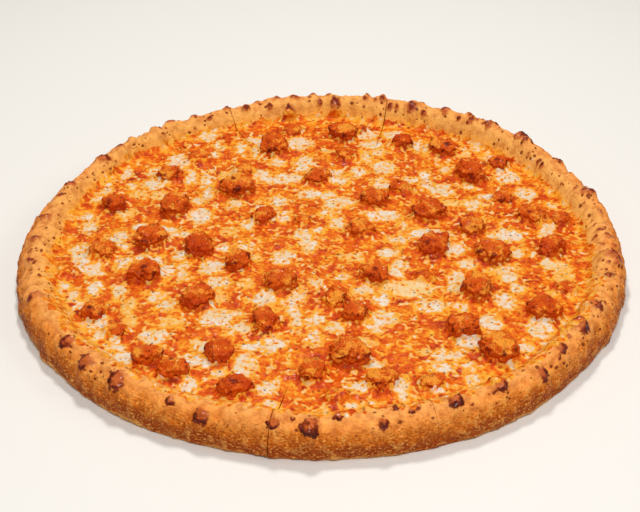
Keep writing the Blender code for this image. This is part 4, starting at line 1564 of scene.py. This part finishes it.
# %% [markdown]
# Grilled meat is craggy: its fibres tear into creases, and crisp crumbs cling to it. Noise of four sizes
# gives the relief, the two large ones folded into creases, and the crumbs are scorched where they stand.

# %% Craggy meat
CRAG_SIZES = ((8.0, 2.3), (5.0, 1.6), (2.9, 1.0), (1.7, 0.5))
CREASED_OVER = 4
CREASE = (0.3, 1.2)
CRUMB_SIZE = 2.1
CRUMB_RISE = 0.55
SCORCH_SIZE = 5.5


def waves(points, size, shift):
    """Noise at each point, with hills of one size in mm; the shift keeps two draws apart."""
    return np.array([noise.noise(point) for point in points / size + shift])


def crag(grid, index):
    """Relief and scorching of every point of a piece."""
    points = grid.reshape(-1, 3) / MM
    crumbs = waves(points, CRUMB_SIZE, (9.7, 0.0, index))
    patches = waves(points, SCORCH_SIZE, (0.0, 4.2, 1.7 * index))
    scorch = smooth(patches + 0.8 * crumbs, 0.18, 0.60)
    relief = CRUMB_RISE * scorch
    for size, rise in CRAG_SIZES:
        wave = waves(points, size, (0.0, 0.0, 3.1 * index))
        relief += rise * (CREASE[0] - CREASE[1] * np.abs(wave) if size > CREASED_OVER else wave)
    shape = grid.shape[:2]
    return relief.reshape(shape) * MM, scorch.reshape(shape)


print("sizes and rises of the crags in mm:", CRAG_SIZES)

# %% [markdown]
# Each piece is dressed in turn: relief along its normals, calm at the seat and on the crown, and marks
# for its sides, scorching and tint. The side mark gives the finish its golden tops and brown sides,
# partly as painted light and shade, and the scorch mark holds a painted shade at the foot. The tables
# name the pieces that are more golden or redder than most, and the charred spots. The scraps of one
# slice share a mesh, because they share a solid.

# %% Make the chicken
PIECE_TURNS = 76
PIECE_STEPS = 30
SCRAP_TURNS = 52
SCRAP_STEPS = 22
TINTS = {
    1: 0.2, 3: 0.2, 4: -0.2, 6: -0.1, 7: -0.15, 11: -0.1, 14: -0.2, 16: -0.2, 19: 0.0, 21: 0.3, 24: 0.5,
    26: 0.5, 28: -0.2, 29: -0.15, 32: -0.2, 33: -0.2, 35: 0.0, 37: -0.2, 41: 0.4, 42: 0.2, 43: -0.1, 44: -0.2,
}
USUAL_TINT = 0.15
CHARRED = (
    (-42, 134), (-8, 100), (69, 167), (156, 35), (79, 12), (76, -8), (92, -96), (-68, 80), (102, 140),
    (-55, -172), (-96, -148), (140, 118), (38, -45), (-156, -90), (-124, -44), (-160, 50),
)
CHARRED_SIZE = 2.4
CHARRED_SHARE = 1.1
USUAL_LENGTH = 22 * MM
EDGE_AT = 0.62
EDGE_SPREAD = 0.16


def lump(index, centre, length, seat, height, turns, levels):
    """Points, faces and marks of one piece of chicken."""
    grid = round_and_over(dice_levels(index, centre, length, seat, height), turns, levels)
    normals = grid_normals(grid)
    relief, scorch = crag(grid, index)
    rise = np.linspace(0, 1, levels)[:, None]
    relief = relief * smooth(rise, 0.0, 0.12) * (1 - smooth(rise, 0.93, 1.0)) * length / USUAL_LENGTH
    grid = grid + normals * relief[..., None]
    # Side mark from the slope of the surface: the finish makes sides browner and tops golden, partly painted
    # shade and light.
    side = 1 - np.clip(grid_normals(grid)[..., 2], 0, 1)
    side[-1] = side[-2].mean()
    high = (grid[..., 2] - seat) / height
    edge = np.exp(-(((rise - EDGE_AT) / EDGE_SPREAD) ** 2))
    foot = 1 - smooth(high, 0.05, 0.45)
    # Darker at the foot, where the piece meets the bed: partly browning, partly painted shade.
    scorch = scorch * (0.35 + 0.7 * edge) + 0.12 * foot
    for spot in CHARRED:
        away = np.hypot(*(grid[..., :2] / MM - spot).transpose(2, 0, 1)) / CHARRED_SIZE
        scorch = scorch + CHARRED_SHARE * np.exp(-(away**2))
    points = np.concatenate((grid[:-1].reshape(-1, 3), grid[-1, :1]))
    last = len(points) - 1
    index_grid = np.arange(last).reshape(levels - 1, turns)
    beside = np.roll(index_grid, -1, 1)
    quads = np.stack((index_grid[:-1], beside[:-1], beside[1:], index_grid[1:]), -1).reshape(-1, 4)
    faces = [tuple(face) for face in quads.tolist()]
    faces += [(index_grid[-1, k], beside[-1, k], last) for k in range(turns)]
    faces.append(tuple(index_grid[0, ::-1].tolist()))
    tint = np.full(side.shape, TINTS.get(index, USUAL_TINT))
    named = (("side", side), ("scorch", scorch), ("tint", tint))
    return points, faces, {label: np.append(value[:-1].ravel(), value[-1, 0]) for label, value in named}


def make_chicken():
    small = {}
    for number, name, *form in PIECES:
        if name:
            points, faces, marks = lump(*form, PIECE_TURNS, PIECE_STEPS)
            make_piece(name + "_meat", points, faces, marks, CHICKEN_FINISH, [name])
        else:
            small.setdefault(number, []).append(lump(*form, SCRAP_TURNS, SCRAP_STEPS))
    for number, lumps in small.items():
        points, faces, marks = [], [], {"side": [], "scorch": [], "tint": []}
        for some_points, some_faces, some_marks in lumps:
            base = len(points)
            points += list(some_points)
            faces += [tuple(base + i for i in face) for face in some_faces]
            for label, values in some_marks.items():
                marks[label] += list(values)
        stands_for = [f"topping_slice_{number}"]
        make_piece(f"scraps_{number}", points, faces, marks, CHICKEN_FINISH, stands_for)


make_chicken()
print("triangles:", sum(piece_faces.values()), "largest piece:", max(piece_faces.values()))
